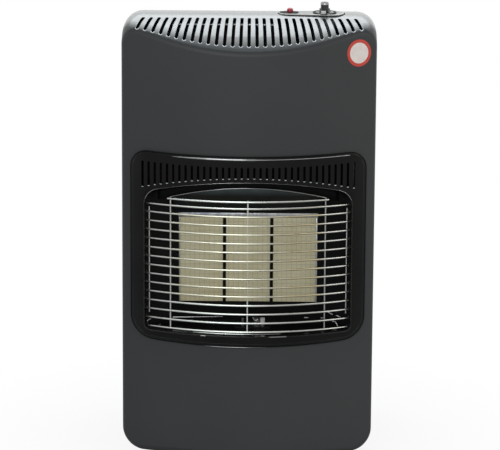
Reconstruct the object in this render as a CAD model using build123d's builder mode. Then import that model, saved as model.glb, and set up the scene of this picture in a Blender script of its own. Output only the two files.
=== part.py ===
from build123d import *
from functools import cache
from math import cos, degrees, radians, sin, sqrt, tan
import os

# Portable gas cabinet heater, in millimetres.
# Origin: on the floor, under the middle of the heater. +X is right as seen from
# the front, +Y runs to the back, +Z is up. The fire looks along -Y.

# ---------------------------------------------------------------- driving sizes
WIDTH = 420.0
DEPTH = 378.0            # from the guard's foremost wire to the door hinges
CREST_Z = 753.0          # highest line of the sheet-metal case
SKIRT_Z = 16.0           # lower edge of the case
SHEET = 1.2
FIT = 0.3                # gap between separate sheet pieces
CLEAR = 0.05             # small overlap of shapes that become one piece
SLIDE_FIT = 0.06         # radial clearance of shafts and pins

GUARD_PROUD = 9.0        # guard stands in front of the front panel
HINGE_PROUD = 6.0        # hinges and finger pull stand behind the case
FRONT_Y = -DEPTH / 2 + GUARD_PROUD
CASE_REAR_Y = DEPTH / 2 - HINGE_PROUD
SEAM_Y = -20.0           # joint between front panel and rear case panels

# Case form: bowed front, domed top, rolled lower side edges
BOW_R = 470.0
BOW_CENTRE_Y = FRONT_Y + BOW_R
FRONT_EDGE_R = 12.0
TOP_EDGE_R = 33.0
BOTTOM_EDGE_R = 38.0
CREST_FRONT_Y = -81.0
CREST_BACK_Y = -77.0
FRONT_ARC_R = 107.0
FRONT_SLOPE = 43.0
REAR_ARC_R = 360.0
REAR_SLOPE = 12.5
OVERRUN = 20.0           # cutting shapes run past the case by this much

# Air slots across the front of the top, fanned about a point at the back
SLOT_COUNT = 29
SLOT_PITCH = 1.357       # degrees
SLOT_FAN_Y = 394.0
SLOT_WIDTH = 5.5
SLOT_TOP_Y = -110.0
SLOT_FRONT_Y = -170.0
SLOT_FRONT_BOW_R = 573.0
SLOT_FLOOR_Z = 690.0     # the cut starts here, inside the case

# Black surround of the fire mouth
SURROUND_WIDTH = WIDTH - 30.0
SURROUND_TOP_Z = 530.2
SURROUND_TOP_RISE = 5.1
SURROUND_BOTTOM_Z = 208.5
SURROUND_BOTTOM_RISE = 9.6
SURROUND_TOP_R = 27.0
SURROUND_BOTTOM_R = 40.0
SURROUND_PROUD = 4.0
SURROUND_SHEET = 1.6
SURROUND_RIM_R = 3.4
SURROUND_LAP = 7.0       # the case cut-out is smaller than the surround by this

MOUTH_WIDTH = SURROUND_WIDTH - 47.0
MOUTH_TOP_Z = 486.5
MOUTH_TOP_DROP = 21.0
MOUTH_BOTTOM_Z = 226.5
MOUTH_BOTTOM_RISE = 4.5
MOUTH_TOP_R = 9.0
MOUTH_BOTTOM_R = 10.0
MOUTH_FLANGE = 24.0

VENT_COUNT = 35
VENT_PITCH = 10.26
VENT_WIDTH = 3.8
VENT_TOP_Z = 512.3
VENT_TOP_RISE = 4.6
VENT_BOTTOM_Z = 493.9
VENT_BOTTOM_DROP = 20.5

# Wire guard
WIRE_R = 1.6
UPRIGHT_R = 1.25
WELD = 0.3               # wires sink into each other by this at a weld
GUARD_BOW_R = 339.0
GUARD_LOW_Z = 235.5
GUARD_PITCH = 15.0
GUARD_ROWS = 14
GUARD_TOP_ROWS = (444.3, 455.5)
GUARD_LEG = 9.0
GUARD_LEG_BEND_R = 3.2
GUARD_SHORT_HALF = MOUTH_WIDTH / 2 - 38.5    # highest wire, under the arched top
GUARD_LOW_HALF = MOUTH_WIDTH / 2 - 4.2       # lowest wire, between rounded corners
GUARD_UPRIGHT_X = (-128.0, 0.0, 128.0)
GUARD_SIDE_UPRIGHT_X = MOUTH_WIDTH / 2 - 7.5
GUARD_SIDE_UPRIGHT_Z = (258.0, 438.0)
UPRIGHT_TAIL = 2.2

# Burner with three ceramic plaques, each seen through a window of the burner frame
FIRE_MARGIN = 55.7       # from the mouth's sides to the outer windows
WINDOW_BAR = 5.4         # between two windows
PLAQUE_GAP = 1.0
PLAQUE_PITCH = (MOUTH_WIDTH - 2 * FIRE_MARGIN + WINDOW_BAR) / 3
PLAQUE_WIDTH = PLAQUE_PITCH - PLAQUE_GAP
PLAQUE_HEIGHT = 153.0
PLAQUE_THICK = 13.0
WINDOW_WIDTH = PLAQUE_PITCH - WINDOW_BAR
WINDOW_LOW_Z = 268.3
WINDOW_HEIGHT = 150.0
BURNER_FRAME_Y = -107.5
BURNER_FRAME_THICK = 1.5
BURNER_FRAME_MARGIN_X = 9.0
BURNER_FRAME_MARGIN_Z = 7.0
BURNER_DEPTH = 34.0
BURNER_LEDGE = 4.0
MIXER_R = 11.0
MIXER_THROAT_R = 7.0
MIXER_WALL = 1.0
MIXER_LENGTH = 46.0
MIXER_BELL = 15.0        # height of the flared entry
MIXER_ENTRY = 9.0        # the tubes' holes run this far up into the burner
MIXER_BACK = 13.0        # mixing tubes stand this far in front of the burner's back
HOOD_SLOPE = 45.0
HOOD_REACH_R = 452.0     # radius of the hood's front edge about the bow's centre
REFLECTOR_SHEET = 1.0
REFLECTOR_FLOOR_Z = 229.0
REFLECTOR_BEND_R = 6.0
CHEEK_TOP_Z = 462.0

# Pilot group in front of the burner's lower edge
PILOT_Y = -130.0
PILOT_X = 15.0
ELECTRODE_X = 25.0
THERMOCOUPLE_X = -8.0
PILOT_PLATE = (62.0, 20.0, 1.5)
PILOT_PLATE_X = 9.0
PILOT_HOLE = (50.0, 12.0)

# Wall between fire and cylinder bay
SHIELD_Y = -58.0
SHIELD_GAP = 2.0         # around the shield and round the inlet pipe
SHELF_Z = 738.0
SHELF_FRONT_Y = -100.0
SHELF_X = (-127.0, 45.0)

# Controls on the crest
CTRL_Y = -82.0
CTRL_RISE = 1.4          # face of the plate above the crest
CTRL_TILT = 3.0
KNOB_X = WIDTH / 2 - 86.0
PLATE_ENDS = ((KNOB_X - 61.0, 14.5), (KNOB_X + 12.0, 20.0))  # centre x, radius of each end
PLATE_THICK = 8.0        # before it is trimmed to the case
PLATE_EDGE = 0.8
GASKET_MARGIN = 2.2
GASKET_DROP = 1.3        # face of the gasket below the face of the plate
KNOB_SKIRT_R = 6.2       # sleeve of the knob that hides the stem
KNOB_BASE_R = 8.8
KNOB_BASE_HEIGHT = 3.0
KNOB_BAR = (13.0, 29.0)
KNOB_TOP = 16.3
KNOB_EDGE = 1.2
KNOB_PUSH = 3.0
DISC_R = 17.0
DISC_HEIGHT = 1.5
DISC_EDGE = 0.5
STEM_R = 4.0
COLLAR_R = 7.2
COLLAR_HEIGHT = 4.0
NECK_R = 9.0
NECK_TOP = -1.0
NECK_SINK = 5.0          # the neck's root inside the valve
VALVE = (36.0, 34.0, 50.0)
VALVE_TOP = -9.0
IGNITER_X = KNOB_X - 57.2
BUTTON_R = 5.2
BUTTON_TOP = 8.0
BUTTON_EDGE = 3.8
BUTTON_PUSH = 6.0
BUTTON_SHAFT = 22.0
IGNITER_NECK_R = 7.5
IGNITER_BODY_R = 9.5
IGNITER_BODY_LENGTH = 42.0
BEZEL = (30.0, 13.6, 1.5)
BEZEL_X = KNOB_X - 59.0

# Gas lines
FEED_R = 3.0
PILOT_PIPE_R = 2.0
SENSOR_R = 1.2
LEAD_R = 2.5
FEED_BEND_R = 14.0
INLET_R = 5.0
TAIL_R = 4.0
TAIL_LENGTH = 24.0
TAIL_NUT_R = 8.0
TAIL_Y = -34.0
TAIL_BORE_R = 2.0
TAIL_EDGE = 0.7
INJECTOR_R = 4.0
INJECTOR_HEX_R = 6.5
INJECTOR_HEX_HEIGHT = 6.0
INJECTOR_NECK = 2.4
INJECTOR_TIP_R = 2.0
INJECTOR_TIP = 5.5
RAIL_DROP = 7.5          # from the mixing tubes' mouths down to the rail

# Castors
WHEEL_R = 22.5
WHEEL_WIDTH = 18.0
HUB_WIDTH = 20.4
CASTOR_TRAIL = 16.0
CASTOR_X = WIDTH / 2 - 80.0
CASTOR_FRONT_Y = -105.0
CASTOR_REAR_Y = 135.0
CASTOR_PLATE = 40.0
CASTOR_PLATE_THICK = 2.0
FORK_ARM = 2.0
CROWN_LOW_Z = 49.0
KINGPIN_R = 3.5
KINGPIN_HEAD_R = 6.0
KINGPIN_HEAD = 2.5
AXLE_R = 3.0
AXLE_HEAD_R = 4.5
AXLE_HEAD = 1.0
TRAY_Z = 60.0
TRAY_RIM = 18.0
STAND = (280.0, 206.0, 1.0)  # raised flat for the cylinder: width, depth, rise
STAND_Y = 60.0
STAND_CORNER_R = 20.0

# Rear frame and door
DOOR_OPENING_HALF = WIDTH / 2 - 45.0
DOOR_OPENING_Z = (80.0, 640.0)
DOOR_LAP = 7.0
DOOR_GAP = 0.6
DOOR_FOLD = 1.8
FRAME_FLANGE = 11.0
HINGE_X = 33.0 - WIDTH / 2
HINGE_R = 2.5
HINGE_PIN_R = 1.25
HINGE_HEIGHTS = (180.0, 540.0)
KNUCKLE = 22.0
KNUCKLE_GAP = 0.4
HINGE_LEAF = 24.0
LOUVRE = (110.0, 4.0)
LOUVRE_PITCH = 11.0
LOUVRE_ROWS = 6
LOUVRE_X = 71.5          # middle of each column of louvres
LOUVRE_MARGIN = 44.0     # from the door's ends to the nearest louvre
TOP_LOUVRES = (656.0, 3)     # lowest row and number of rows above the door
PULL = (5.5, 88.0)       # reach and height of the door's finger pull
MAGNET = (14.0, 9.6, 30.0)
SCREW_R = 1.9
SCREW_HEAD_R = 3.8
SCREW_HEAD = 1.7
SCREW_LENGTH = 9.0
SCREW_X = WIDTH / 2 - 20.0
SCREW_HEIGHTS = (110.0, 290.0, 470.0, 650.0)
RETURN_X = WIDTH / 2 - 29.0    # inner edge of the side panels' returns
RETURN_Z = (84.0, 668.0)

# Plain round badge on the front panel
BADGE_X = WIDTH / 2 - 29.8
BADGE_Z = 697.6
BADGE_SIZE = (19.7, 22.4)
BADGE_THICK = 0.4

# Depths and heights of the controls below the plate
NECK_DEPTH = 12.0        # bore of the valve's neck, below the plate's face
VALVE_BORE = 20.0        # stem bore, below the valve's top
COLLAR_TOP = -2.0
STEM_GRIP = 8.0          # length of stem inside the knob
IGNITER_SHOULDER = 6.0
VALVE_LOW_Z = CREST_Z - 58.0
BRACKET_LOW_Z = CREST_Z - 23.0
BRACKET_JOIN_Z = CREST_Z - 3.0

# Routes of pipes and leads
INLET_Z = CREST_Z - 35.0
INLET_DROP = 40.0
REAR_RUN_Y = -73.0       # pipes that run between burner and shield
FEED_OUTLET_PITCH = 12.0
FEED_DROP_X = WIDTH / 2 - 60.0
FEED_DROP_PITCH = 13.0
FEED_HIGH_Z = 675.0
FEED_LOW_Z = 150.0
PILOT_HIGH_Z = 630.0
PILOT_LOW_Z = 134.0
PILOT_SIDE_X = WIDTH / 2 - 21.0
SENSOR_LOW_Z = 122.0
SENSOR_HIGH_Z = 716.0
SENSOR_SIDE_X = WIDTH / 2 - 11.0
LEAD_HIGH_Z = 610.0
LEAD_LOW_Z = 108.0
LEAD_SIDE_X = 65.0 - WIDTH / 2

# Pilot group
PILOT_R = 4.0
PILOT_CUP_R = 6.5
PILOT_CUP_HEIGHT = 14.0
PILOT_CUP_WALL = 1.0
ELECTRODE_R = 3.2
ELECTRODE_SHOULDER = 3.2
ELECTRODE_CONE = 6.4
ELECTRODE_WIRE_R = 0.8
ELECTRODE_WIRE = 8.0
THERMOCOUPLE_R = 2.4
THERMOCOUPLE_HEIGHT = 14.0
PILOT_FOOT_Z = 214.0

# Castor details
FORK_EYE_R = 7.5
CROWN_HALF = 12.0
TREAD_R = 3.0
WEB_R = 16.0             # round recess in each side of a wheel
WEB_DEPTH = 3.0
HUB_R = 6.0

# Places that follow from the sizes above
GUARD_CENTRE_Y = -DEPTH / 2 + WIRE_R + GUARD_BOW_R
PLAQUE_X = [index * PLAQUE_PITCH for index in (-1, 0, 1)]
WINDOW_MID_Z = WINDOW_LOW_Z + WINDOW_HEIGHT / 2
FRAME_TOP_Z = WINDOW_LOW_Z + WINDOW_HEIGHT + BURNER_FRAME_MARGIN_Z
FRAME_LOW_Z = WINDOW_LOW_Z - BURNER_FRAME_MARGIN_Z
FRAME_HALF = PLAQUE_PITCH + WINDOW_WIDTH / 2 + BURNER_FRAME_MARGIN_X
BURNER_FRONT_Y = BURNER_FRAME_Y + BURNER_FRAME_THICK
BURNER_BACK_Y = BURNER_FRONT_Y + BURNER_DEPTH
BURNER_HALF = PLAQUE_PITCH + PLAQUE_WIDTH / 2 + FIT + SHEET
BURNER_LOW_Z = WINDOW_MID_Z - PLAQUE_HEIGHT / 2 - FIT - SHEET
BURNER_HIGH_Z = WINDOW_MID_Z + PLAQUE_HEIGHT / 2 + FIT + SHEET
MIXER_Y = BURNER_BACK_Y - MIXER_BACK
BELL_Z = BURNER_LOW_Z - MIXER_LENGTH
RAIL_Z = BELL_Z - RAIL_DROP
INJECTOR_FOOT_Z = RAIL_Z - INJECTOR_HEX_HEIGHT
CTRL = Plane(origin=(0, CTRL_Y, CREST_Z + CTRL_RISE), x_dir=(1, 0, 0),
             z_dir=(0, -sin(radians(CTRL_TILT)), cos(radians(CTRL_TILT))))


def keep(piece, name):
    """Label one finished piece and write it to its own file."""
    piece.part.label = name
    export_step(piece.part, f"parts/{name}.step")


def box_between(low, high, mode=Mode.ADD):
    """Box from its lowest to its highest corner."""
    size = [b - a for a, b in zip(low, high)]
    centre = tuple((a + b) / 2 for a, b in zip(low, high))
    with Locations(centre):
        return Box(*size, mode=mode)


def bow_y(radius, x):
    """Y of an upright cylinder about the bow's centre, on the front side, at x."""
    return BOW_CENTRE_Y - sqrt(radius ** 2 - x ** 2)


# ---------------------------------------------------------------- case envelope
def side_profile(inset):
    """Side view of the case: floor, back, sloping top, crest and front slope."""
    back_y = CASE_REAR_Y - inset
    nose_y = FRONT_Y - OVERRUN
    with BuildSketch() as profile:
        with BuildLine():
            crest = Line((CREST_BACK_Y, CREST_Z - inset), (CREST_FRONT_Y, CREST_Z - inset))
            front = JernArc(crest @ 1, (-1, 0), FRONT_ARC_R - inset, FRONT_SLOPE)
            slope = PolarLine(front @ 1, (front @ 1).X - nose_y, direction=front % 1,
                              length_mode=LengthMode.HORIZONTAL)
            rear = JernArc(crest @ 0, (1, 0), REAR_ARC_R - inset, -REAR_SLOPE)
            back = PolarLine(rear @ 1, back_y - (rear @ 1).X, direction=rear % 1,
                             length_mode=LengthMode.HORIZONTAL)
            Polyline(back @ 1, (back_y, SKIRT_Z + inset), (nose_y, SKIRT_Z + inset), slope @ 1)
        make_face()
    return profile.sketch


def plan_profile(inset):
    """Plan of the case: bowed front and straight sides, run past the back."""
    half = WIDTH / 2 - inset
    side_y = bow_y(BOW_R - inset, half)
    back_y = CASE_REAR_Y + OVERRUN
    with BuildSketch() as profile:
        with BuildLine():
            ThreePointArc((-half, side_y), (0, FRONT_Y + inset), (half, side_y))
            Polyline((half, side_y), (half, back_y), (-half, back_y), (-half, side_y))
        make_face()
    return profile.sketch


@cache
def envelope(inset):
    """Solid space inside the case, drawn in by inset from every outer face."""
    half = WIDTH / 2 - inset
    with BuildPart() as block:
        with BuildSketch(Plane.YZ):
            add(side_profile(inset))
        extrude(amount=half, both=True)
        flanks = block.edges().group_by(Axis.X)
        upper = (flanks[0] + flanks[-1]).filter_by_position(Axis.Z, CREST_Z - FRONT_ARC_R, CREST_Z)
        fillet(upper, TOP_EDGE_R - inset)
        lower = block.edges().filter_by(Axis.Y).group_by(Axis.Z)[0]
        fillet(lower, BOTTOM_EDGE_R - inset)
        with BuildSketch():
            add(plan_profile(inset))
        extrude(amount=CREST_Z + OVERRUN, mode=Mode.INTERSECT)
        bow = block.faces().filter_by(GeomType.CYLINDER).sort_by(SortBy.AREA)[-1]
        fillet(bow.edges(), FRONT_EDGE_R - inset)
    return block.part


@cache
def skin():
    """Whole case skin, open underneath."""
    with BuildPart() as walls:
        add(envelope(0))
        add(envelope(SHEET), mode=Mode.SUBTRACT)
        box_between((-WIDTH, -DEPTH, 0), (WIDTH, DEPTH, SKIRT_Z + SHEET + CLEAR), Mode.SUBTRACT)
    return walls.part


def bow_disc(radius, mode):
    """Upright cylinder about the bow's centre, as tall as the case."""
    with Locations((0, BOW_CENTRE_Y, 0)):
        Cylinder(radius, CREST_Z + OVERRUN, align=(Align.CENTER, Align.CENTER, Align.MIN),
                 mode=mode)


# ---------------------------------------------------------------- front outlines
def panel_shape(half, top, bottom, radii):
    """Outline with arcs at top and bottom, each given as (middle, end) height."""
    with BuildSketch() as shape:
        with BuildLine():
            ThreePointArc((-half, top[1]), (0, top[0]), (half, top[1]))
            Line((half, top[1]), (half, bottom[1]))
            ThreePointArc((half, bottom[1]), (0, bottom[0]), (-half, bottom[1]))
            Line((-half, bottom[1]), (-half, top[1]))
        make_face()
        for height, radius in ((top[1], radii[0]), (bottom[1], radii[1])):
            corners = shape.vertices().filter_by_position(Axis.Y, height - CLEAR, height + CLEAR)
            fillet(corners, radius)
    return shape.sketch


def surround_shape(grow=0.0):
    """Outline of the black surround, larger or smaller by grow."""
    with BuildSketch() as shape:
        add(panel_shape(SURROUND_WIDTH / 2,
                        (SURROUND_TOP_Z, SURROUND_TOP_Z + SURROUND_TOP_RISE),
                        (SURROUND_BOTTOM_Z, SURROUND_BOTTOM_Z + SURROUND_BOTTOM_RISE),
                        (SURROUND_TOP_R, SURROUND_BOTTOM_R)))
        if grow:
            offset(amount=grow, mode=Mode.REPLACE)
    return shape.sketch


def mouth_shape(grow=0.0):
    """Outline of the fire mouth, larger by grow."""
    with BuildSketch() as shape:
        add(panel_shape(MOUTH_WIDTH / 2,
                        (MOUTH_TOP_Z, MOUTH_TOP_Z - MOUTH_TOP_DROP),
                        (MOUTH_BOTTOM_Z, MOUTH_BOTTOM_Z + MOUTH_BOTTOM_RISE),
                        (MOUTH_TOP_R, MOUTH_BOTTOM_R)))
        if grow:
            offset(amount=grow, mode=Mode.REPLACE)
    return shape.sketch


# ---------------------------------------------------------------- controls' plane
def plate_shape(grow=0.0):
    """Outline of the control plate: two round ends and their tangents."""
    (left_x, left_r), (right_x, right_r) = PLATE_ENDS
    with BuildSketch() as shape:
        with BuildLine():
            CenterArc((left_x, 0), left_r + grow, 0, 360)
            CenterArc((right_x, 0), right_r + grow, 0, 360)
        make_hull()
    return shape.sketch


def ctrl_cylinder(x, radius, low, high, mode=Mode.ADD):
    """Round piece or hole square to the control plate, between two heights above it."""
    with BuildSketch(CTRL.offset(low)) as outline:
        with Locations((x, 0)):
            Circle(radius)
    extrude(outline.sketch, amount=high - low, mode=mode)


# ---------------------------------------------------------------- case panels
def air_slots():
    """Fan of slots in plan, from a straight line at the top to a bowed line in front."""
    offset_y = SLOT_FAN_Y - (SLOT_FRONT_Y + SLOT_FRONT_BOW_R)
    with BuildSketch() as slots:
        for index in range(SLOT_COUNT):
            angle = radians((index - (SLOT_COUNT - 1) / 2) * SLOT_PITCH)
            near = (SLOT_FAN_Y - SLOT_TOP_Y) / cos(angle)
            far = offset_y * cos(angle) + sqrt(
                SLOT_FRONT_BOW_R ** 2 - (offset_y * sin(angle)) ** 2)
            middle = (near + far) / 2
            with Locations((middle * sin(angle), SLOT_FAN_Y - middle * cos(angle))):
                SlotOverall(far - near, SLOT_WIDTH, rotation=degrees(angle) - 90)
    return slots.sketch


def make_front_panel():
    with BuildPart() as front_panel:
        add(skin())
        box_between((-WIDTH, -DEPTH, 0), (WIDTH, SEAM_Y, CREST_Z + OVERRUN), Mode.INTERSECT)
        with BuildSketch(Plane.XZ):
            add(surround_shape(-SURROUND_LAP))
        extrude(amount=DEPTH, mode=Mode.SUBTRACT)
        with BuildSketch(Plane.XY.offset(SLOT_FLOOR_Z)):
            add(air_slots())
        extrude(amount=CREST_Z - SLOT_FLOOR_Z + OVERRUN, mode=Mode.SUBTRACT)
        for x, radius in ((KNOB_X, NECK_R), (IGNITER_X, IGNITER_NECK_R)):
            ctrl_cylinder(x, radius + FIT, -PLATE_THICK, PLATE_THICK, Mode.SUBTRACT)
    keep(front_panel, "front_panel")


def make_rear_case():
    """Side panels, top panel and the fixed frame round the door."""
    wall_y = CASE_REAR_Y - SHEET - FIT
    flat_half = WIDTH / 2 - TOP_EDGE_R
    tall = CREST_Z + OVERRUN
    with BuildPart() as side_panel:
        add(skin())
        box_between((-WIDTH, SEAM_Y + FIT, 0), (-flat_half - FIT, wall_y, tall), Mode.INTERSECT)
        box_between((-WIDTH / 2 + SHEET - CLEAR, wall_y - SHEET, RETURN_Z[0]),
                    (-RETURN_X, wall_y, RETURN_Z[1]))
        with BuildSketch(Plane.XZ.offset(-wall_y)):
            with Locations(*[(-SCREW_X, height) for height in SCREW_HEIGHTS]):
                Circle(SCREW_R + SLIDE_FIT)
        extrude(amount=2 * SHEET, mode=Mode.SUBTRACT)
    keep(side_panel, "side_panel_left")
    with BuildPart() as opposite:
        mirror(side_panel.part, about=Plane.YZ)
    keep(opposite, "side_panel_right")
    with BuildPart() as top_panel:
        add(skin())
        box_between((-flat_half, SEAM_Y + FIT, CREST_Z - FRONT_ARC_R), (flat_half, wall_y, tall),
                    Mode.INTERSECT)
    keep(top_panel, "top_panel")
    with BuildPart() as rear_frame:
        add(skin())
        box_between((-WIDTH, CASE_REAR_Y - SHEET, 0), (WIDTH, DEPTH, tall), Mode.INTERSECT)
        low, high = DOOR_OPENING_Z
        half = DOOR_OPENING_HALF
        box_between((-half - SHEET, CASE_REAR_Y - FRAME_FLANGE, low - SHEET),
                    (half + SHEET, CASE_REAR_Y, high + SHEET))
        box_between((-half, -DEPTH, low), (half, DEPTH, high), Mode.SUBTRACT)
        with BuildSketch(Plane.XZ.offset(-CASE_REAR_Y)):
            add(louvre_rows(*TOP_LOUVRES))
            for side in (-1, 1):
                with Locations(*[(side * SCREW_X, height) for height in SCREW_HEIGHTS]):
                    Circle(SCREW_R + SLIDE_FIT)
        extrude(amount=2 * SHEET, mode=Mode.SUBTRACT)
    keep(rear_frame, "rear_frame")


def louvre_rows(first, rows):
    """Two columns of level slots, upwards from the first row."""
    with BuildSketch() as slots:
        for row in range(rows):
            for side in (-1, 1):
                with Locations((side * LOUVRE_X, first + row * LOUVRE_PITCH)):
                    SlotOverall(*LOUVRE)
    return slots.sketch


def make_rear_screws():
    """Pan-head screws that hold the rear frame to the side panels."""
    with BuildPart() as rear_screws:
        for side in (-1, 1):
            with Locations(*[(side * SCREW_X, CASE_REAR_Y, height) for height in SCREW_HEIGHTS]):
                Cylinder(SCREW_HEAD_R, SCREW_HEAD, rotation=(90, 0, 0),
                         align=(Align.CENTER, Align.CENTER, Align.MAX))
                Cylinder(SCREW_R, SCREW_LENGTH, rotation=(90, 0, 0),
                         align=(Align.CENTER, Align.CENTER, Align.MIN))
        heads = rear_screws.edges().filter_by(GeomType.CIRCLE).group_by(Axis.Y)[-1]
        fillet(heads, SCREW_HEAD / 2)
    keep(rear_screws, "rear_screws")


def make_door():
    """Hinged rear door, its two hinges and the magnet that holds it shut."""
    inner_y = CASE_REAR_Y + DOOR_GAP
    outer_y = inner_y + DOOR_FOLD
    half = DOOR_OPENING_HALF + DOOR_LAP
    low = DOOR_OPENING_Z[0] - DOOR_LAP
    high = DOOR_OPENING_Z[1] + DOOR_LAP
    middle = sum(DOOR_OPENING_Z) / 2
    axis_y = DEPTH / 2 - HINGE_R
    with BuildPart() as rear_door:
        box_between((-half, inner_y, low), (half, outer_y, high))
        fillet(rear_door.edges().filter_by(Axis.Y), DOOR_LAP / 2)
        box_between((-half + SHEET, inner_y, low + SHEET),
                    (half - SHEET, outer_y - SHEET, high - SHEET), Mode.SUBTRACT)
        with BuildSketch(Plane.XZ.offset(-outer_y)):
            add(louvre_rows(low + LOUVRE_MARGIN, LOUVRE_ROWS))
            add(louvre_rows(high - LOUVRE_MARGIN - LOUVRE_ROWS * LOUVRE_PITCH, LOUVRE_ROWS))
        extrude(amount=DOOR_FOLD + DOOR_GAP, mode=Mode.SUBTRACT)
        box_between((half - SHEET, outer_y - SHEET, middle - PULL[1] / 2),
                    (half + PULL[0], outer_y, middle + PULL[1] / 2))
        box_between((half + PULL[0] - SHEET, outer_y - SHEET, middle - PULL[1] / 2),
                    (half + PULL[0], DEPTH / 2, middle + PULL[1] / 2))
        for height in HINGE_HEIGHTS:
            knuckle(height + KNUCKLE + KNUCKLE_GAP, axis_y, outer_y, 1)
    keep(rear_door, "rear_door")
    with BuildPart() as door_hinges:
        for height in HINGE_HEIGHTS:
            knuckle(height, axis_y, CASE_REAR_Y, -1)
    keep(door_hinges, "door_hinges")
    with BuildPart() as hinge_pins:
        for height in HINGE_HEIGHTS:
            with Locations((HINGE_X, axis_y, height)):
                Cylinder(HINGE_PIN_R, 2 * KNUCKLE + KNUCKLE_GAP,
                         align=(Align.CENTER, Align.CENTER, Align.MIN))
    keep(hinge_pins, "hinge_pins")
    with BuildPart() as door_magnet:
        box_between((DOOR_OPENING_HALF - MAGNET[0], inner_y - MAGNET[1], middle - MAGNET[2] / 2),
                    (DOOR_OPENING_HALF, inner_y, middle + MAGNET[2] / 2))
        fillet(door_magnet.edges().filter_by(Axis.Z), SHEET)
    keep(door_magnet, "door_magnet")


def knuckle(height, axis_y, leaf_y, side):
    """Hinge barrel from height upwards, with a leaf lying on the face at leaf_y."""
    reach = HINGE_X + side * HINGE_LEAF
    box_between((min(HINGE_X, reach), leaf_y, height),
                (max(HINGE_X, reach), leaf_y + SHEET, height + KNUCKLE))
    with Locations((HINGE_X, axis_y, height)):
        Cylinder(HINGE_R, KNUCKLE, align=(Align.CENTER, Align.CENTER, Align.MIN))
        Cylinder(HINGE_PIN_R + SLIDE_FIT, KNUCKLE, align=(Align.CENTER, Align.CENTER, Align.MIN),
                 mode=Mode.SUBTRACT)


# ---------------------------------------------------------------- fire mouth
def bowed_block(shape, outer_r, inner_r=0.0):
    """Outline carried back along Y, kept between two radii about the bow's centre."""
    with BuildPart() as block:
        with BuildSketch(Plane.XZ):
            add(shape)
        extrude(amount=DEPTH)
        bow_disc(outer_r, Mode.INTERSECT)
        if inner_r:
            bow_disc(inner_r, Mode.SUBTRACT)
    return block.part


def vent_slots():
    """Row of upright slots between the surround's top edge and the mouth."""
    last_x = (VENT_COUNT - 1) / 2 * VENT_PITCH
    with BuildSketch() as slots:
        for index in range(VENT_COUNT):
            x = index * VENT_PITCH - last_x
            share = (x / last_x) ** 2
            top = VENT_TOP_Z + VENT_TOP_RISE * share
            bottom = VENT_BOTTOM_Z - VENT_BOTTOM_DROP * share
            with Locations((x, (top + bottom) / 2)):
                SlotOverall(top - bottom, VENT_WIDTH, rotation=90)
    return slots.sketch


def make_front_surround():
    face_r = BOW_R + SURROUND_PROUD
    hollow = bowed_block(surround_shape(-SURROUND_SHEET), face_r - SURROUND_SHEET)
    flange = bowed_block(mouth_shape(SURROUND_SHEET), face_r - CLEAR, face_r - MOUTH_FLANGE)
    with BuildPart() as front_surround:
        add(bowed_block(surround_shape(), face_r, BOW_R + FIT))
        rim = front_surround.faces().sort_by(Axis.Y)[0].edges()
        fillet(rim, SURROUND_RIM_R)
        add(hollow, mode=Mode.SUBTRACT)
        add(flange)
        with BuildSketch(Plane.XZ):
            add(mouth_shape())
            add(vent_slots())
        extrude(amount=DEPTH, mode=Mode.SUBTRACT)
    keep(front_surround, "front_surround")


def make_round_badge():
    """Thin plain disc stuck on the bowed front."""
    with BuildSketch() as disc:
        with Locations((BADGE_X, BADGE_Z)):
            Ellipse(*BADGE_SIZE)
    with BuildPart() as round_badge:
        add(bowed_block(disc.sketch, BOW_R + BADGE_THICK, BOW_R))
    keep(round_badge, "round_badge")


def guard_wire(half, leg):
    """One bowed level wire at height zero, its ends turned back by leg."""
    end_y = GUARD_CENTRE_Y - sqrt(GUARD_BOW_R ** 2 - half ** 2)
    with BuildPart() as wire:
        with BuildLine() as route:
            ThreePointArc((-half, end_y), (0, GUARD_CENTRE_Y - GUARD_BOW_R), (half, end_y))
            if leg:
                Line((-half, end_y + leg), (-half, end_y))
                Line((half, end_y), (half, end_y + leg))
                fillet(route.vertices().group_by(Axis.Y)[0], GUARD_LEG_BEND_R)
        path = route.wires()[0]
        with BuildSketch(Plane(origin=path @ 0, z_dir=path % 0)):
            Circle(WIRE_R)
        sweep(path=path)
    return wire.part


def make_fire_guard():
    half = MOUTH_WIDTH / 2 - WIRE_R - FIT
    back_r = GUARD_BOW_R - WIRE_R - UPRIGHT_R + WELD
    low, high = GUARD_LOW_Z - UPRIGHT_TAIL, GUARD_TOP_ROWS[1] + UPRIGHT_TAIL
    rows = [GUARD_LOW_Z + GUARD_PITCH * row for row in range(1, GUARD_ROWS)]
    rows += [GUARD_TOP_ROWS[0]]
    spans = [(x, low, high) for x in GUARD_UPRIGHT_X]
    spans += [(side * GUARD_SIDE_UPRIGHT_X, *GUARD_SIDE_UPRIGHT_Z) for side in (-1, 1)]
    long_wire = guard_wire(half, GUARD_LEG)
    with BuildPart() as fire_guard:
        with Locations(*[(0, 0, height) for height in rows]):
            add(long_wire)
        with Locations((0, 0, GUARD_LOW_Z)):
            add(guard_wire(GUARD_LOW_HALF, GUARD_LEG))
        with Locations((0, 0, GUARD_TOP_ROWS[1])):
            add(guard_wire(GUARD_SHORT_HALF, 0))
        for x, foot, top in spans:
            with Locations((x, GUARD_CENTRE_Y - sqrt(back_r ** 2 - x ** 2), foot)):
                Cylinder(UPRIGHT_R, top - foot, align=(Align.CENTER, Align.CENTER, Align.MIN))
    keep(fire_guard, "fire_guard")


# ---------------------------------------------------------------- burner
def plaque_windows(width, height):
    """Three upright windows, one for each plaque."""
    with BuildSketch() as windows:
        with Locations(*[(x, WINDOW_MID_Z) for x in PLAQUE_X]):
            Rectangle(width, height)
    return windows.sketch


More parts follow.
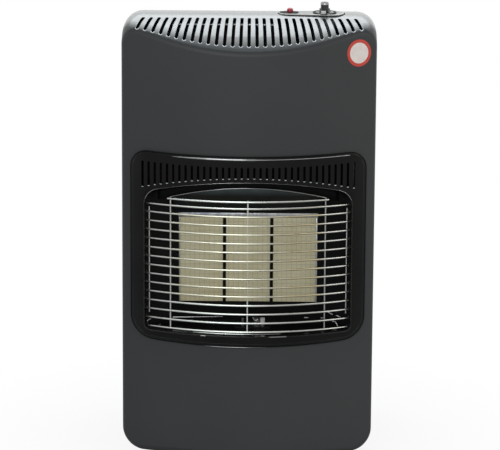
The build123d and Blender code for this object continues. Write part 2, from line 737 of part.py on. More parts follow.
def make_burner():
    for x, name in zip(PLAQUE_X, ("left", "centre", "right")):
        with BuildPart() as plaque:
            with Locations((x, BURNER_FRONT_Y + PLAQUE_THICK / 2, WINDOW_MID_Z)):
                Box(PLAQUE_WIDTH, PLAQUE_THICK, PLAQUE_HEIGHT)
            chamfer(plaque.edges().filter_by(Axis.Y), SHEET)
        keep(plaque, f"ceramic_plaque_{name}")
    with BuildPart() as burner_frame:
        with BuildSketch(Plane.XZ.offset(-BURNER_FRONT_Y)):
            with Locations((0, WINDOW_MID_Z)):
                Rectangle(2 * FRAME_HALF, WINDOW_HEIGHT + 2 * BURNER_FRAME_MARGIN_Z)
            add(plaque_windows(WINDOW_WIDTH, WINDOW_HEIGHT), mode=Mode.SUBTRACT)
        extrude(amount=BURNER_FRAME_THICK)
    keep(burner_frame, "burner_frame")
    ledge_y = BURNER_FRONT_Y + PLAQUE_THICK
    with BuildPart() as burner_box:
        box_between((-BURNER_HALF, BURNER_FRONT_Y, BURNER_LOW_Z),
                    (BURNER_HALF, BURNER_BACK_Y, BURNER_HIGH_Z))
        box_between((-BURNER_HALF + SHEET, BURNER_FRONT_Y, BURNER_LOW_Z + SHEET),
                    (BURNER_HALF - SHEET, ledge_y, BURNER_HIGH_Z - SHEET), Mode.SUBTRACT)
        with BuildSketch(Plane.XZ.offset(SHEET - BURNER_BACK_Y)):
            add(plaque_windows(PLAQUE_WIDTH - 2 * BURNER_LEDGE, PLAQUE_HEIGHT - 2 * BURNER_LEDGE))
        extrude(amount=BURNER_DEPTH, mode=Mode.SUBTRACT)
        with Locations(*[(x, MIXER_Y, BURNER_LOW_Z) for x in PLAQUE_X]):
            Cylinder(MIXER_R - MIXER_WALL, 2 * MIXER_ENTRY, mode=Mode.SUBTRACT)
    keep(burner_box, "burner_box")


def mixer_profile():
    """Half section of a mixing tube: bell, throat and a cone that opens upwards."""
    throat_z = BELL_Z + MIXER_BELL
    with BuildSketch(Plane.XZ) as section:
        with BuildLine():
            Polyline((MIXER_R, BELL_Z), (MIXER_THROAT_R, throat_z), (MIXER_R, BURNER_LOW_Z),
                     (MIXER_R - MIXER_WALL, BURNER_LOW_Z), (MIXER_THROAT_R - MIXER_WALL, throat_z),
                     (MIXER_R - MIXER_WALL, BELL_Z), close=True)
        make_face()
    return section.sketch


def make_mixers():
    """Mixing tubes, their injectors and the rail that lines them up."""
    seats = [(x, MIXER_Y, RAIL_Z) for x in PLAQUE_X]
    on_base = (Align.CENTER, Align.CENTER, Align.MIN)
    with BuildPart() as tube:
        add(mixer_profile())
        revolve(axis=Axis.Z)
    with BuildPart() as mixing_tubes:
        with Locations(*[(x, MIXER_Y, 0) for x in PLAQUE_X]):
            add(tube.part)
    keep(mixing_tubes, "mixing_tubes")
    half = PLAQUE_PITCH + 2 * MIXER_R
    with BuildPart() as injector_rail:
        box_between((-half, MIXER_Y - MIXER_R, RAIL_Z), (half, MIXER_Y + MIXER_R, BURNER_LOW_Z))
        box_between((-half + SHEET, -DEPTH, RAIL_Z + SHEET), (half - SHEET, DEPTH, CREST_Z),
                    Mode.SUBTRACT)
        with Locations(*seats):
            Cylinder(INJECTOR_R + SLIDE_FIT, 4 * SHEET, mode=Mode.SUBTRACT)
    keep(injector_rail, "injector_rail")
    with BuildPart() as injectors:
        with BuildSketch(Plane.XY.offset(INJECTOR_FOOT_Z)):
            with Locations(*[(x, MIXER_Y) for x in PLAQUE_X]):
                RegularPolygon(INJECTOR_HEX_R, 6)
        extrude(amount=INJECTOR_HEX_HEIGHT)
        with Locations(*seats):
            Cylinder(INJECTOR_R, INJECTOR_NECK, align=on_base)
        with Locations(*[(x, MIXER_Y, RAIL_Z + INJECTOR_NECK) for x in PLAQUE_X]):
            Cone(INJECTOR_R, INJECTOR_TIP_R, INJECTOR_TIP, align=on_base)
    keep(injectors, "injectors")


def make_reflectors():
    """Hood above the burner, two cheeks beside it and a floor in front of it."""
    rise = tan(radians(HOOD_SLOPE))
    reach = BURNER_FRONT_Y - FRONT_Y
    foot = (BURNER_FRONT_Y, FRAME_TOP_Z + FIT)
    depth = REFLECTOR_SHEET / cos(radians(HOOD_SLOPE))
    with BuildPart() as reflector_hood:
        with BuildSketch(Plane.YZ):
            with BuildLine():
                Polyline(foot, (foot[0] - reach, foot[1] + reach * rise),
                         (foot[0] - reach, foot[1] + reach * rise + depth),
                         (foot[0], foot[1] + depth), close=True)
            make_face()
        extrude(amount=FRAME_HALF, both=True)
        bow_disc(HOOD_REACH_R, Mode.INTERSECT)
    keep(reflector_hood, "reflector_hood")
    flange_r = BOW_R + SURROUND_PROUD - MOUTH_FLANGE
    outer_x = MOUTH_WIDTH / 2
    outer_y = bow_y(flange_r, outer_x) + FIT
    with BuildPart() as reflector_right:
        with BuildSketch(Plane.XY.offset(REFLECTOR_FLOOR_Z)):
            with BuildLine():
                Polyline((FRAME_HALF + FIT, BURNER_FRAME_Y), (outer_x, outer_y),
                         (outer_x, outer_y + REFLECTOR_SHEET),
                         (FRAME_HALF + FIT, BURNER_FRAME_Y + REFLECTOR_SHEET), close=True)
            make_face()
        extrude(amount=CHEEK_TOP_Z - REFLECTOR_FLOOR_Z)
    keep(reflector_right, "reflector_right")
    with BuildPart() as reflector_left:
        mirror(reflector_right.part, about=Plane.YZ)
    keep(reflector_left, "reflector_left")
    back_y = BURNER_FRAME_Y - FIT
    inner_y = back_y - REFLECTOR_SHEET
    floor_z = REFLECTOR_FLOOR_Z
    with BuildPart() as reflector_floor:
        with BuildSketch(Plane.YZ) as bend:
            with BuildLine():
                Polyline((FRONT_Y, floor_z), (back_y, floor_z),
                         (back_y, FRAME_LOW_Z), (inner_y, FRAME_LOW_Z),
                         (inner_y, floor_z + REFLECTOR_SHEET),
                         (FRONT_Y, floor_z + REFLECTOR_SHEET), close=True)
            make_face()
            for y, radius in ((back_y, REFLECTOR_BEND_R + REFLECTOR_SHEET),
                              (inner_y, REFLECTOR_BEND_R)):
                corner = bend.vertices().filter_by_position(Axis.X, y - CLEAR, y + CLEAR)
                fillet(corner.sort_by(Axis.Y)[0], radius)
        extrude(amount=outer_x, both=True)
        with BuildSketch():
            with BuildLine():
                Polyline((-FRAME_HALF, back_y), (FRAME_HALF, back_y),
                         (outer_x - FIT, outer_y - FIT), (outer_x - FIT, FRONT_Y),
                         (FIT - outer_x, FRONT_Y), (FIT - outer_x, outer_y - FIT), close=True)
            make_face()
        extrude(amount=CREST_Z, mode=Mode.INTERSECT)
        bow_disc(flange_r - FIT, Mode.INTERSECT)
        with Locations((PILOT_PLATE_X, PILOT_Y, floor_z)):
            Box(*PILOT_HOLE, 4 * REFLECTOR_SHEET, mode=Mode.SUBTRACT)
    keep(reflector_floor, "reflector_floor")


# ---------------------------------------------------------------- pilot group
def upright(x, radius, low, high, mode=Mode.ADD):
    """Round upright piece or hole of the pilot group."""
    with Locations((x, PILOT_Y, low)):
        Cylinder(radius, high - low, align=(Align.CENTER, Align.CENTER, Align.MIN), mode=mode)


def pipe(route, radius, bend_r):
    """Round pipe or lead along straight runs joined by bends."""
    with BuildPart() as tube:
        with BuildLine() as path:
            FilletPolyline(*route, radius=bend_r)
        line = path.wires()[0]
        with BuildSketch(Plane(origin=line @ 0, z_dir=line % 0)):
            Circle(radius)
        sweep(path=line)
    return tube.part


def make_pilot_group():
    length, width, thick = PILOT_PLATE
    plate_z = REFLECTOR_FLOOR_Z + REFLECTOR_SHEET
    top = plate_z + thick
    with BuildPart() as pilot_bracket:
        box_between((PILOT_PLATE_X - length / 2, PILOT_Y - width / 2, plate_z),
                    (PILOT_PLATE_X + length / 2, PILOT_Y + width / 2, top))
        fillet(pilot_bracket.edges().filter_by(Axis.Z), 2 * thick)
        for x, radius in ((PILOT_X, PILOT_R), (ELECTRODE_X, ELECTRODE_R),
                          (THERMOCOUPLE_X, THERMOCOUPLE_R)):
            upright(x, radius + SLIDE_FIT, plate_z - thick, top + thick, Mode.SUBTRACT)
    keep(pilot_bracket, "pilot_bracket")
    with BuildPart() as pilot_burner:
        upright(PILOT_X, PILOT_R, PILOT_FOOT_Z, top + thick)
        upright(PILOT_X, PILOT_CUP_R, top, top + PILOT_CUP_HEIGHT)
        upright(PILOT_X, PILOT_CUP_R - PILOT_CUP_WALL, top + thick, top + PILOT_CUP_HEIGHT,
                Mode.SUBTRACT)
    keep(pilot_burner, "pilot_burner")
    with BuildPart() as ignition_electrode:
        shoulder = top + ELECTRODE_SHOULDER
        upright(ELECTRODE_X, ELECTRODE_R, PILOT_FOOT_Z, shoulder)
        with Locations((ELECTRODE_X, PILOT_Y, shoulder)):
            Cone(ELECTRODE_R, ELECTRODE_WIRE_R, ELECTRODE_CONE,
                 align=(Align.CENTER, Align.CENTER, Align.MIN))
        upright(ELECTRODE_X, ELECTRODE_WIRE_R, shoulder, shoulder + ELECTRODE_WIRE)
    keep(ignition_electrode, "ignition_electrode")
    sensor_route = [(THERMOCOUPLE_X, PILOT_Y, PILOT_FOOT_Z + CLEAR),
                    (THERMOCOUPLE_X, PILOT_Y, SENSOR_LOW_Z),
                    (THERMOCOUPLE_X, REAR_RUN_Y, SENSOR_LOW_Z),
                    (SENSOR_SIDE_X, REAR_RUN_Y, SENSOR_LOW_Z),
                    (SENSOR_SIDE_X, REAR_RUN_Y, SENSOR_HIGH_Z),
                    (KNOB_X + VALVE[0] / 2 + FIT, REAR_RUN_Y, SENSOR_HIGH_Z)]
    with BuildPart() as thermocouple:
        upright(THERMOCOUPLE_X, THERMOCOUPLE_R, PILOT_FOOT_Z, top + THERMOCOUPLE_HEIGHT)
        fillet(thermocouple.edges().group_by(Axis.Z)[-1], THERMOCOUPLE_R / 2)
        add(pipe(sensor_route, SENSOR_R, FEED_BEND_R))
    keep(thermocouple, "thermocouple")


# ---------------------------------------------------------------- gas lines
def make_gas_lines():
    """Feed pipes, pilot pipe, spark lead, inlet pipe and hose tail."""
    names = ("left", "centre", "right")
    for index, (x, name) in enumerate(zip(PLAQUE_X, names)):
        outlet_x = KNOB_X + (1 - index) * FEED_OUTLET_PITCH
        drop_x = FEED_DROP_X + (2 - index) * FEED_DROP_PITCH
        high_z = FEED_HIGH_Z - index * FEED_DROP_PITCH
        low_z = FEED_LOW_Z + index * FEED_DROP_PITCH
        route = [(outlet_x, MIXER_Y, VALVE_LOW_Z - FIT), (outlet_x, MIXER_Y, high_z),
                 (drop_x, MIXER_Y, high_z), (drop_x, MIXER_Y, low_z),
                 (x, MIXER_Y, low_z), (x, MIXER_Y, INJECTOR_FOOT_Z - FIT)]
        with BuildPart() as feed_pipe:
            add(pipe(route, FEED_R, FEED_BEND_R / 2))
        keep(feed_pipe, f"feed_pipe_{name}")
    pilot_route = [(KNOB_X, REAR_RUN_Y, VALVE_LOW_Z - FIT), (KNOB_X, REAR_RUN_Y, PILOT_HIGH_Z),
                   (PILOT_SIDE_X, REAR_RUN_Y, PILOT_HIGH_Z), (PILOT_SIDE_X, REAR_RUN_Y, PILOT_LOW_Z),
                   (PILOT_X, REAR_RUN_Y, PILOT_LOW_Z), (PILOT_X, PILOT_Y, PILOT_LOW_Z),
                   (PILOT_X, PILOT_Y, PILOT_FOOT_Z - FIT)]
    with BuildPart() as pilot_pipe:
        add(pipe(pilot_route, PILOT_PIPE_R, FEED_BEND_R))
    keep(pilot_pipe, "pilot_pipe")
    start = CTRL.from_local_coords((IGNITER_X, 0, -PLATE_THICK - IGNITER_BODY_LENGTH - FIT))
    lead_route = [(start.X, start.Y, start.Z), (start.X, start.Y, LEAD_HIGH_Z),
                  (LEAD_SIDE_X, start.Y, LEAD_HIGH_Z), (LEAD_SIDE_X, start.Y, LEAD_LOW_Z),
                  (ELECTRODE_X, start.Y, LEAD_LOW_Z), (ELECTRODE_X, PILOT_Y, LEAD_LOW_Z),
                  (ELECTRODE_X, PILOT_Y, PILOT_FOOT_Z - FIT)]
    with BuildPart() as ignition_lead:
        add(pipe(lead_route, LEAD_R, FEED_BEND_R))
    keep(ignition_lead, "ignition_lead")
    inlet_route = [(KNOB_X, CTRL_Y + VALVE[1] / 2 + FIT, INLET_Z), (KNOB_X, TAIL_Y, INLET_Z),
                   (KNOB_X, TAIL_Y, INLET_Z - INLET_DROP)]
    with BuildPart() as inlet_pipe:
        add(pipe(inlet_route, INLET_R, 2 * INLET_R))
    keep(inlet_pipe, "inlet_pipe")
    nut_z = INLET_Z - INLET_DROP - FIT
    with BuildPart() as hose_tail:
        with BuildSketch(Plane.XY.offset(nut_z - TAIL_NUT_R)):
            with Locations((KNOB_X, TAIL_Y)):
                RegularPolygon(TAIL_NUT_R, 6)
        extrude(amount=TAIL_NUT_R)
        with Locations((KNOB_X, TAIL_Y, nut_z - TAIL_NUT_R)):
            Cylinder(TAIL_R, TAIL_LENGTH, align=(Align.CENTER, Align.CENTER, Align.MAX))
            Cylinder(TAIL_BORE_R, 2 * TAIL_LENGTH, mode=Mode.SUBTRACT)
        rims = hose_tail.edges().filter_by(GeomType.CIRCLE).group_by(Axis.Z)[0]
        chamfer(rims.sort_by(SortBy.RADIUS)[-1], TAIL_EDGE)
    keep(hose_tail, "hose_tail")


# ---------------------------------------------------------------- shield and tray
def make_heat_shield():
    """Wall between the fire and the cylinder bay, with a shelf under the air slots."""
    with BuildPart() as heat_shield:
        add(envelope(SHEET + SHIELD_GAP))
        box_between((-WIDTH, SHIELD_Y, TRAY_Z + SHEET + FIT), (WIDTH, SHIELD_Y + SHEET, CREST_Z),
                    Mode.INTERSECT)
        box_between((SHELF_X[0], SHELF_FRONT_Y, SHELF_Z), (SHELF_X[1], SHIELD_Y, SHELF_Z + SHEET))
        with Locations((KNOB_X, SHIELD_Y, INLET_Z)):
            Cylinder(INLET_R + SHIELD_GAP, 4 * SHEET, rotation=(90, 0, 0), mode=Mode.SUBTRACT)
    keep(heat_shield, "heat_shield")


def make_base_tray():
    """Floor of the cabinet with an upturned rim."""
    with BuildPart() as dish:
        add(envelope(2 * SHEET + FIT))
        box_between((-WIDTH, -DEPTH, TRAY_Z + SHEET), (WIDTH, DEPTH, CREST_Z), Mode.INTERSECT)
    with BuildPart() as base_tray:
        add(envelope(SHEET + FIT))
        box_between((-WIDTH, -DEPTH, TRAY_Z), (WIDTH, DEPTH, TRAY_Z + TRAY_RIM), Mode.INTERSECT)
        add(dish.part, mode=Mode.SUBTRACT)
        with BuildSketch(Plane.XY.offset(TRAY_Z)):
            with Locations((0, STAND_Y)):
                RectangleRounded(STAND[0], STAND[1], STAND_CORNER_R)
        extrude(amount=SHEET + STAND[2])
    keep(base_tray, "base_tray")


# ---------------------------------------------------------------- controls
def make_control_plate():
    holes = ((KNOB_X, NECK_R + FIT), (IGNITER_X, IGNITER_NECK_R + FIT))
    with BuildPart() as control_plate:
        with BuildSketch(CTRL):
            add(plate_shape())
        extrude(amount=-PLATE_THICK)
        fillet(control_plate.faces().sort_by(Axis.Z)[-1].edges(), PLATE_EDGE)
        with BuildSketch(CTRL.offset(-GASKET_DROP)):
            add(plate_shape(GASKET_MARGIN))
        extrude(amount=-PLATE_THICK, mode=Mode.SUBTRACT)
        for x, radius in holes:
            ctrl_cylinder(x, radius, -PLATE_THICK, PLATE_THICK, Mode.SUBTRACT)
    keep(control_plate, "control_plate")
    with BuildPart() as plate_gasket:
        with BuildSketch(CTRL.offset(-GASKET_DROP)):
            add(plate_shape(GASKET_MARGIN))
        extrude(amount=-PLATE_THICK)
        add(envelope(0), mode=Mode.SUBTRACT)
        for x, radius in holes:
            ctrl_cylinder(x, radius, -PLATE_THICK, PLATE_THICK, Mode.SUBTRACT)
    keep(plate_gasket, "plate_gasket")


def make_valve():
    """Gas valve under the crest, its bracket, the sprung collar, the stem and the knob."""
    bottom = -VALVE_TOP + VALVE_BORE
    with BuildPart() as valve_body:
        with Locations((KNOB_X, CTRL_Y, VALVE_LOW_Z)):
            Box(*VALVE, align=(Align.CENTER, Align.CENTER, Align.MIN))
        chamfer(valve_body.edges().filter_by(Axis.Z), 2 * SHEET)
        ctrl_cylinder(KNOB_X, NECK_R, VALVE_TOP - NECK_SINK, NECK_TOP)
        ctrl_cylinder(KNOB_X, COLLAR_R + SLIDE_FIT, -NECK_DEPTH, NECK_TOP, Mode.SUBTRACT)
        ctrl_cylinder(KNOB_X, STEM_R + SLIDE_FIT, -bottom, NECK_TOP, Mode.SUBTRACT)
    keep(valve_body, "valve_body")
    half_x = VALVE[0] / 2 + FIT + SHEET
    with BuildPart() as valve_bracket:
        add(envelope(SHEET))
        add(envelope(2 * SHEET), mode=Mode.SUBTRACT)
        box_between((KNOB_X - half_x, CTRL_Y - VALVE[1] / 2, BRACKET_LOW_Z),
                    (KNOB_X + half_x, CTRL_Y + VALVE[1] / 2, CREST_Z), Mode.INTERSECT)
        for low_x in (KNOB_X - half_x, KNOB_X + half_x - SHEET):
            box_between((low_x, CTRL_Y - VALVE[1] / 2, BRACKET_LOW_Z),
                        (low_x + SHEET, CTRL_Y + VALVE[1] / 2, BRACKET_JOIN_Z))
        ctrl_cylinder(KNOB_X, NECK_R + FIT, -2 * PLATE_THICK, PLATE_THICK, Mode.SUBTRACT)
    keep(valve_bracket, "valve_bracket")
    with BuildPart() as push_collar:
        ctrl_cylinder(KNOB_X, COLLAR_R, COLLAR_TOP - COLLAR_HEIGHT, COLLAR_TOP)
        ctrl_cylinder(KNOB_X, STEM_R + SLIDE_FIT, -NECK_DEPTH, PLATE_THICK, Mode.SUBTRACT)
    keep(push_collar, "push_collar")
    knob_foot = DISC_HEIGHT + KNOB_PUSH + FIT
    stem_top = knob_foot + STEM_GRIP
    with BuildPart() as valve_stem:
        ctrl_cylinder(KNOB_X, STEM_R, -bottom + KNOB_PUSH + FIT, stem_top)
    keep(valve_stem, "valve_stem")
    with BuildPart() as knob_disc:
        ctrl_cylinder(KNOB_X, DISC_R, 0, DISC_HEIGHT)
        chamfer(knob_disc.edges().group_by(Axis.Z)[-1], DISC_EDGE)
        ctrl_cylinder(KNOB_X, KNOB_SKIRT_R + FIT, -PLATE_THICK, PLATE_THICK, Mode.SUBTRACT)
    keep(knob_disc, "knob_disc")
    with BuildPart() as control_knob:
        ctrl_cylinder(KNOB_X, KNOB_BASE_R, knob_foot, knob_foot + KNOB_BASE_HEIGHT)
        fillet(control_knob.edges().group_by(Axis.Z)[-1], KNOB_EDGE)
        with BuildSketch(CTRL.offset(knob_foot)):
            with Locations((KNOB_X, 0)):
                SlotOverall(KNOB_BAR[1], KNOB_BAR[0], rotation=90)
        extrude(amount=KNOB_TOP - knob_foot)
        fillet(control_knob.faces().sort_by(Axis.Z)[-1].edges(), KNOB_EDGE)
        ctrl_cylinder(KNOB_X, KNOB_SKIRT_R, COLLAR_TOP + FIT, knob_foot + CLEAR)
        ctrl_cylinder(KNOB_X, STEM_R + SLIDE_FIT, COLLAR_TOP, stem_top + SLIDE_FIT, Mode.SUBTRACT)
    keep(control_knob, "control_knob")


def make_igniter():
    """Push-button spark generator: body below the crest, bezel and button above."""
    top = -IGNITER_SHOULDER
    with BuildPart() as igniter_body:
        ctrl_cylinder(IGNITER_X, IGNITER_BODY_R, -PLATE_THICK - IGNITER_BODY_LENGTH, top)
        ctrl_cylinder(IGNITER_X, IGNITER_NECK_R, top, 0)
        ctrl_cylinder(IGNITER_X, BUTTON_R + SLIDE_FIT, -BUTTON_SHAFT - BUTTON_PUSH - FIT, 0,
                      Mode.SUBTRACT)
    keep(igniter_body, "igniter_body")
    with BuildPart() as igniter_bezel:
        with BuildSketch(CTRL):
            with Locations((BEZEL_X, 0)):
                SlotOverall(BEZEL[0], BEZEL[1])
        extrude(amount=BEZEL[2])
        fillet(igniter_bezel.faces().sort_by(Axis.Z)[-1].edges(), PLATE_EDGE)
        ctrl_cylinder(IGNITER_X, BUTTON_R + FIT, -PLATE_THICK, PLATE_THICK, Mode.SUBTRACT)
    keep(igniter_bezel, "igniter_bezel")
    with BuildPart() as igniter_button:
        ctrl_cylinder(IGNITER_X, BUTTON_R, -BUTTON_SHAFT, BUTTON_TOP)
        fillet(igniter_button.edges().group_by(Axis.Z)[-1], BUTTON_EDGE)
    keep(igniter_button, "igniter_button")


# ---------------------------------------------------------------- castors
def make_castor_plates(places):
    """Mounting plates with their kingpins, under the tray."""
    with BuildPart() as castor_plates:
        with Locations(*[(x, y, TRAY_Z) for x, y, _ in places]):
            Box(CASTOR_PLATE, CASTOR_PLATE, CASTOR_PLATE_THICK,
                align=(Align.CENTER, Align.CENTER, Align.MAX))
        head_top = CROWN_LOW_Z - FIT
        with Locations(*[(x, y, head_top) for x, y, _ in places]):
            Cylinder(KINGPIN_R, TRAY_Z - CASTOR_PLATE_THICK - head_top,
                     align=(Align.CENTER, Align.CENTER, Align.MIN))
            Cylinder(KINGPIN_HEAD_R, KINGPIN_HEAD,
                     align=(Align.CENTER, Align.CENTER, Align.MAX))
    keep(castor_plates, "castor_plates")


def castor_fork():
    """Swivelling fork with its riveted axle, kingpin on the Z axis."""
    inner = HUB_WIDTH / 2 + FIT
    outer = inner + FORK_ARM
    crown_top = TRAY_Z - CASTOR_PLATE_THICK - FIT
    with BuildPart() as fork:
        with BuildSketch(Plane.YZ.offset(-outer)):
            with BuildLine():
                CenterArc((CASTOR_TRAIL, WHEEL_R), FORK_EYE_R, 0, 360)
                Polyline((-CROWN_HALF, CROWN_LOW_Z), (-CROWN_HALF, crown_top),
                         (CROWN_HALF, crown_top), (CROWN_HALF, CROWN_LOW_Z), close=True)
            make_hull()
        extrude(amount=2 * outer)
        box_between((-inner, -CASTOR_PLATE, 0), (inner, 2 * CASTOR_PLATE, CROWN_LOW_Z),
                    Mode.SUBTRACT)
        with Locations((0, 0, CROWN_LOW_Z)):
            Cylinder(KINGPIN_R + SLIDE_FIT, TRAY_Z, mode=Mode.SUBTRACT)
        with Locations((0, CASTOR_TRAIL, WHEEL_R)):
            Cylinder(AXLE_R, 2 * outer, rotation=(0, 90, 0))
        for side in (-1, 1):
            with Locations((side * outer, CASTOR_TRAIL, WHEEL_R)):
                Cylinder(AXLE_HEAD_R, 2 * AXLE_HEAD, rotation=(0, 90, 0))
    return fork.part


def castor_wheel():
    """Wheel with a raised hub and a rounded tread, kingpin on the Z axis."""
    with BuildPart() as wheel:
        with Locations((0, CASTOR_TRAIL, WHEEL_R)):
            Cylinder(WHEEL_R, WHEEL_WIDTH, rotation=(0, 90, 0))
            fillet(wheel.edges().filter_by(GeomType.CIRCLE), TREAD_R)
        for side in (-1, 1):
            with Locations((side * WHEEL_WIDTH / 2, CASTOR_TRAIL, WHEEL_R)):
                Cylinder(WEB_R, 2 * WEB_DEPTH, rotation=(0, 90, 0), mode=Mode.SUBTRACT)
        with Locations((0, CASTOR_TRAIL, WHEEL_R)):
            Cylinder(HUB_R, HUB_WIDTH, rotation=(0, 90, 0))
            Cylinder(AXLE_R + SLIDE_FIT, 2 * HUB_WIDTH, rotation=(0, 90, 0), mode=Mode.SUBTRACT)
    return wheel.part


def make_castors():
    places = [(side * CASTOR_X, y, f"{end}_{name}")
              for end, y in (("front", CASTOR_FRONT_Y), ("rear", CASTOR_REAR_Y))
              for name, side in (("left", -1), ("right", 1))]
    make_castor_plates(places)
    fork_shape = castor_fork()
    wheel_shape = castor_wheel()
    for x, y, name in places:
        with BuildPart() as fork:
            with Locations((x, y, 0)):
                add(fork_shape)
        keep(fork, f"castor_fork_{name}")
        with BuildPart() as wheel:
            with Locations((x, y, 0)):
                add(wheel_shape)
        keep(wheel, f"castor_wheel_{name}")


os.makedirs("parts", exist_ok=True)
make_front_panel()
make_rear_case()
make_rear_screws()
make_door()
make_front_surround()
make_round_badge()
make_fire_guard()
make_burner()
make_mixers()
make_reflectors()
make_pilot_group()
make_gas_lines()
make_heat_shield()
make_base_tray()
make_control_plate()
make_valve()
make_igniter()
make_castors()
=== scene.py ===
import math
import bmesh
import bpy
from mathutils import Matrix, Vector
from mathutils.bvhtree import BVHTree


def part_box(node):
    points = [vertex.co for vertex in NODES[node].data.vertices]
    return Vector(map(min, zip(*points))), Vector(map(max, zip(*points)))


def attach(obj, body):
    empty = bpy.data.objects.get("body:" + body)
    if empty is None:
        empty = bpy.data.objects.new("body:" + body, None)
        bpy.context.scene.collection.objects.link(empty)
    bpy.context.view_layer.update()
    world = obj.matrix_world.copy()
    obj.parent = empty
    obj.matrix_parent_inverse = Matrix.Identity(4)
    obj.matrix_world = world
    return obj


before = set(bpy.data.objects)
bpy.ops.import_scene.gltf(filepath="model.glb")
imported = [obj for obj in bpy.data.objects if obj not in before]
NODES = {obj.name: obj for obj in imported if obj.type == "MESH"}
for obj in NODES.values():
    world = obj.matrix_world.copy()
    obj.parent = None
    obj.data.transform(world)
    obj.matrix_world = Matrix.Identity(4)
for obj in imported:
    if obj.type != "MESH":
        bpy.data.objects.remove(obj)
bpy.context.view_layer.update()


def box_middle(node):
    """Middle of a CAD node's box."""
    low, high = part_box(node)
    return (low + high) / 2


# ---------------------------------------------------------------- places, in metres
# Pairs of heights are at the middle of a bowed edge and at its sides.
BOW_R = 0.470                       # bow of the front panel in plan
BOW_CENTRE_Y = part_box("front_panel")[0].y + BOW_R
FACE_R = BOW_R + 0.004              # the surround stands 4 mm proud of it
SURROUND_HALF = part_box("front_surround")[1].x
SURROUND_TOP = (0.5302, 0.5353)
SURROUND_BOTTOM = (0.2085, 0.2181)
SURROUND_CORNERS = (0.027, 0.040)   # upper and lower
MOUTH_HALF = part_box("fire_guard")[1].x + 0.0003
MOUTH_TOP = (0.4865, 0.4655)
MOUTH_BOTTOM = (0.2265, 0.2310)
MOUTH_CORNER = 0.0095               # as cut in the sheet
MOUTH_TOP_CORNER = 0.027            # as seen, with a web in each upper corner
SLOT_COUNT = 29                     # air slots in the top, fanned about SLOT_FAN_Y
SLOT_PITCH = math.radians(1.357)
SLOT_FAN_Y = 0.394
SLOT_WIDTH = 0.0055
SLOT_END_Y = -0.170                 # where the middle slot ends
SLOT_ARC_R = 0.573                  # arc along which all slots end, and its centre
SLOT_ARC_Y = SLOT_END_Y + SLOT_ARC_R
SHOULDER_X = 0.185                  # where the top begins to round off towards the sides
VENT_COUNT = 35                     # upright vents of the surround
VENT_PITCH = 0.01026
VENT_WIDTH = 0.0038
VENT_LOW = 0.4939                   # lower end of the middle vent
VENT_DROP = 0.0205                  # how much lower the outermost vents end
MOUTH_ROLL = 0.0006                 # how far outside the mouth its rolled edge lies
APRON_R = BOW_R - 0.0171            # the apron hangs behind the front
APRON_HALF = 0.150
APRON_LIP_HALF = 0.130
APRON_FOOT = 0.4739                 # its hem at the middle
APRON_DROP = 0.0192                 # how much lower the hem is at the lip's ends
HEARTH_Y = -0.1092                  # face of the sheet below the plaques
CONTROL_Y = -0.082                  # line of the controls, and the control plate's top there
CONTROL_Z = 0.7544
CREST_LEAN = math.radians(3)        # the crest falls towards the front
KNOB_X = box_middle("control_knob").x


# ---------------------------------------------------------------- finishes
def feed(links, socket, value):
    """Give a socket a number, a colour or another node's output."""
    if isinstance(value, (int, float)):
        socket.default_value = value
    elif isinstance(value, tuple):
        socket.default_value = (*value, 1)
    else:
        links.new(value, socket)


def math_node(nodes, links, kind, values):
    node = nodes.new("ShaderNodeMath")
    node.operation = kind
    for socket, value in zip(node.inputs, values):
        feed(links, socket, value)
    return node.outputs["Value"]


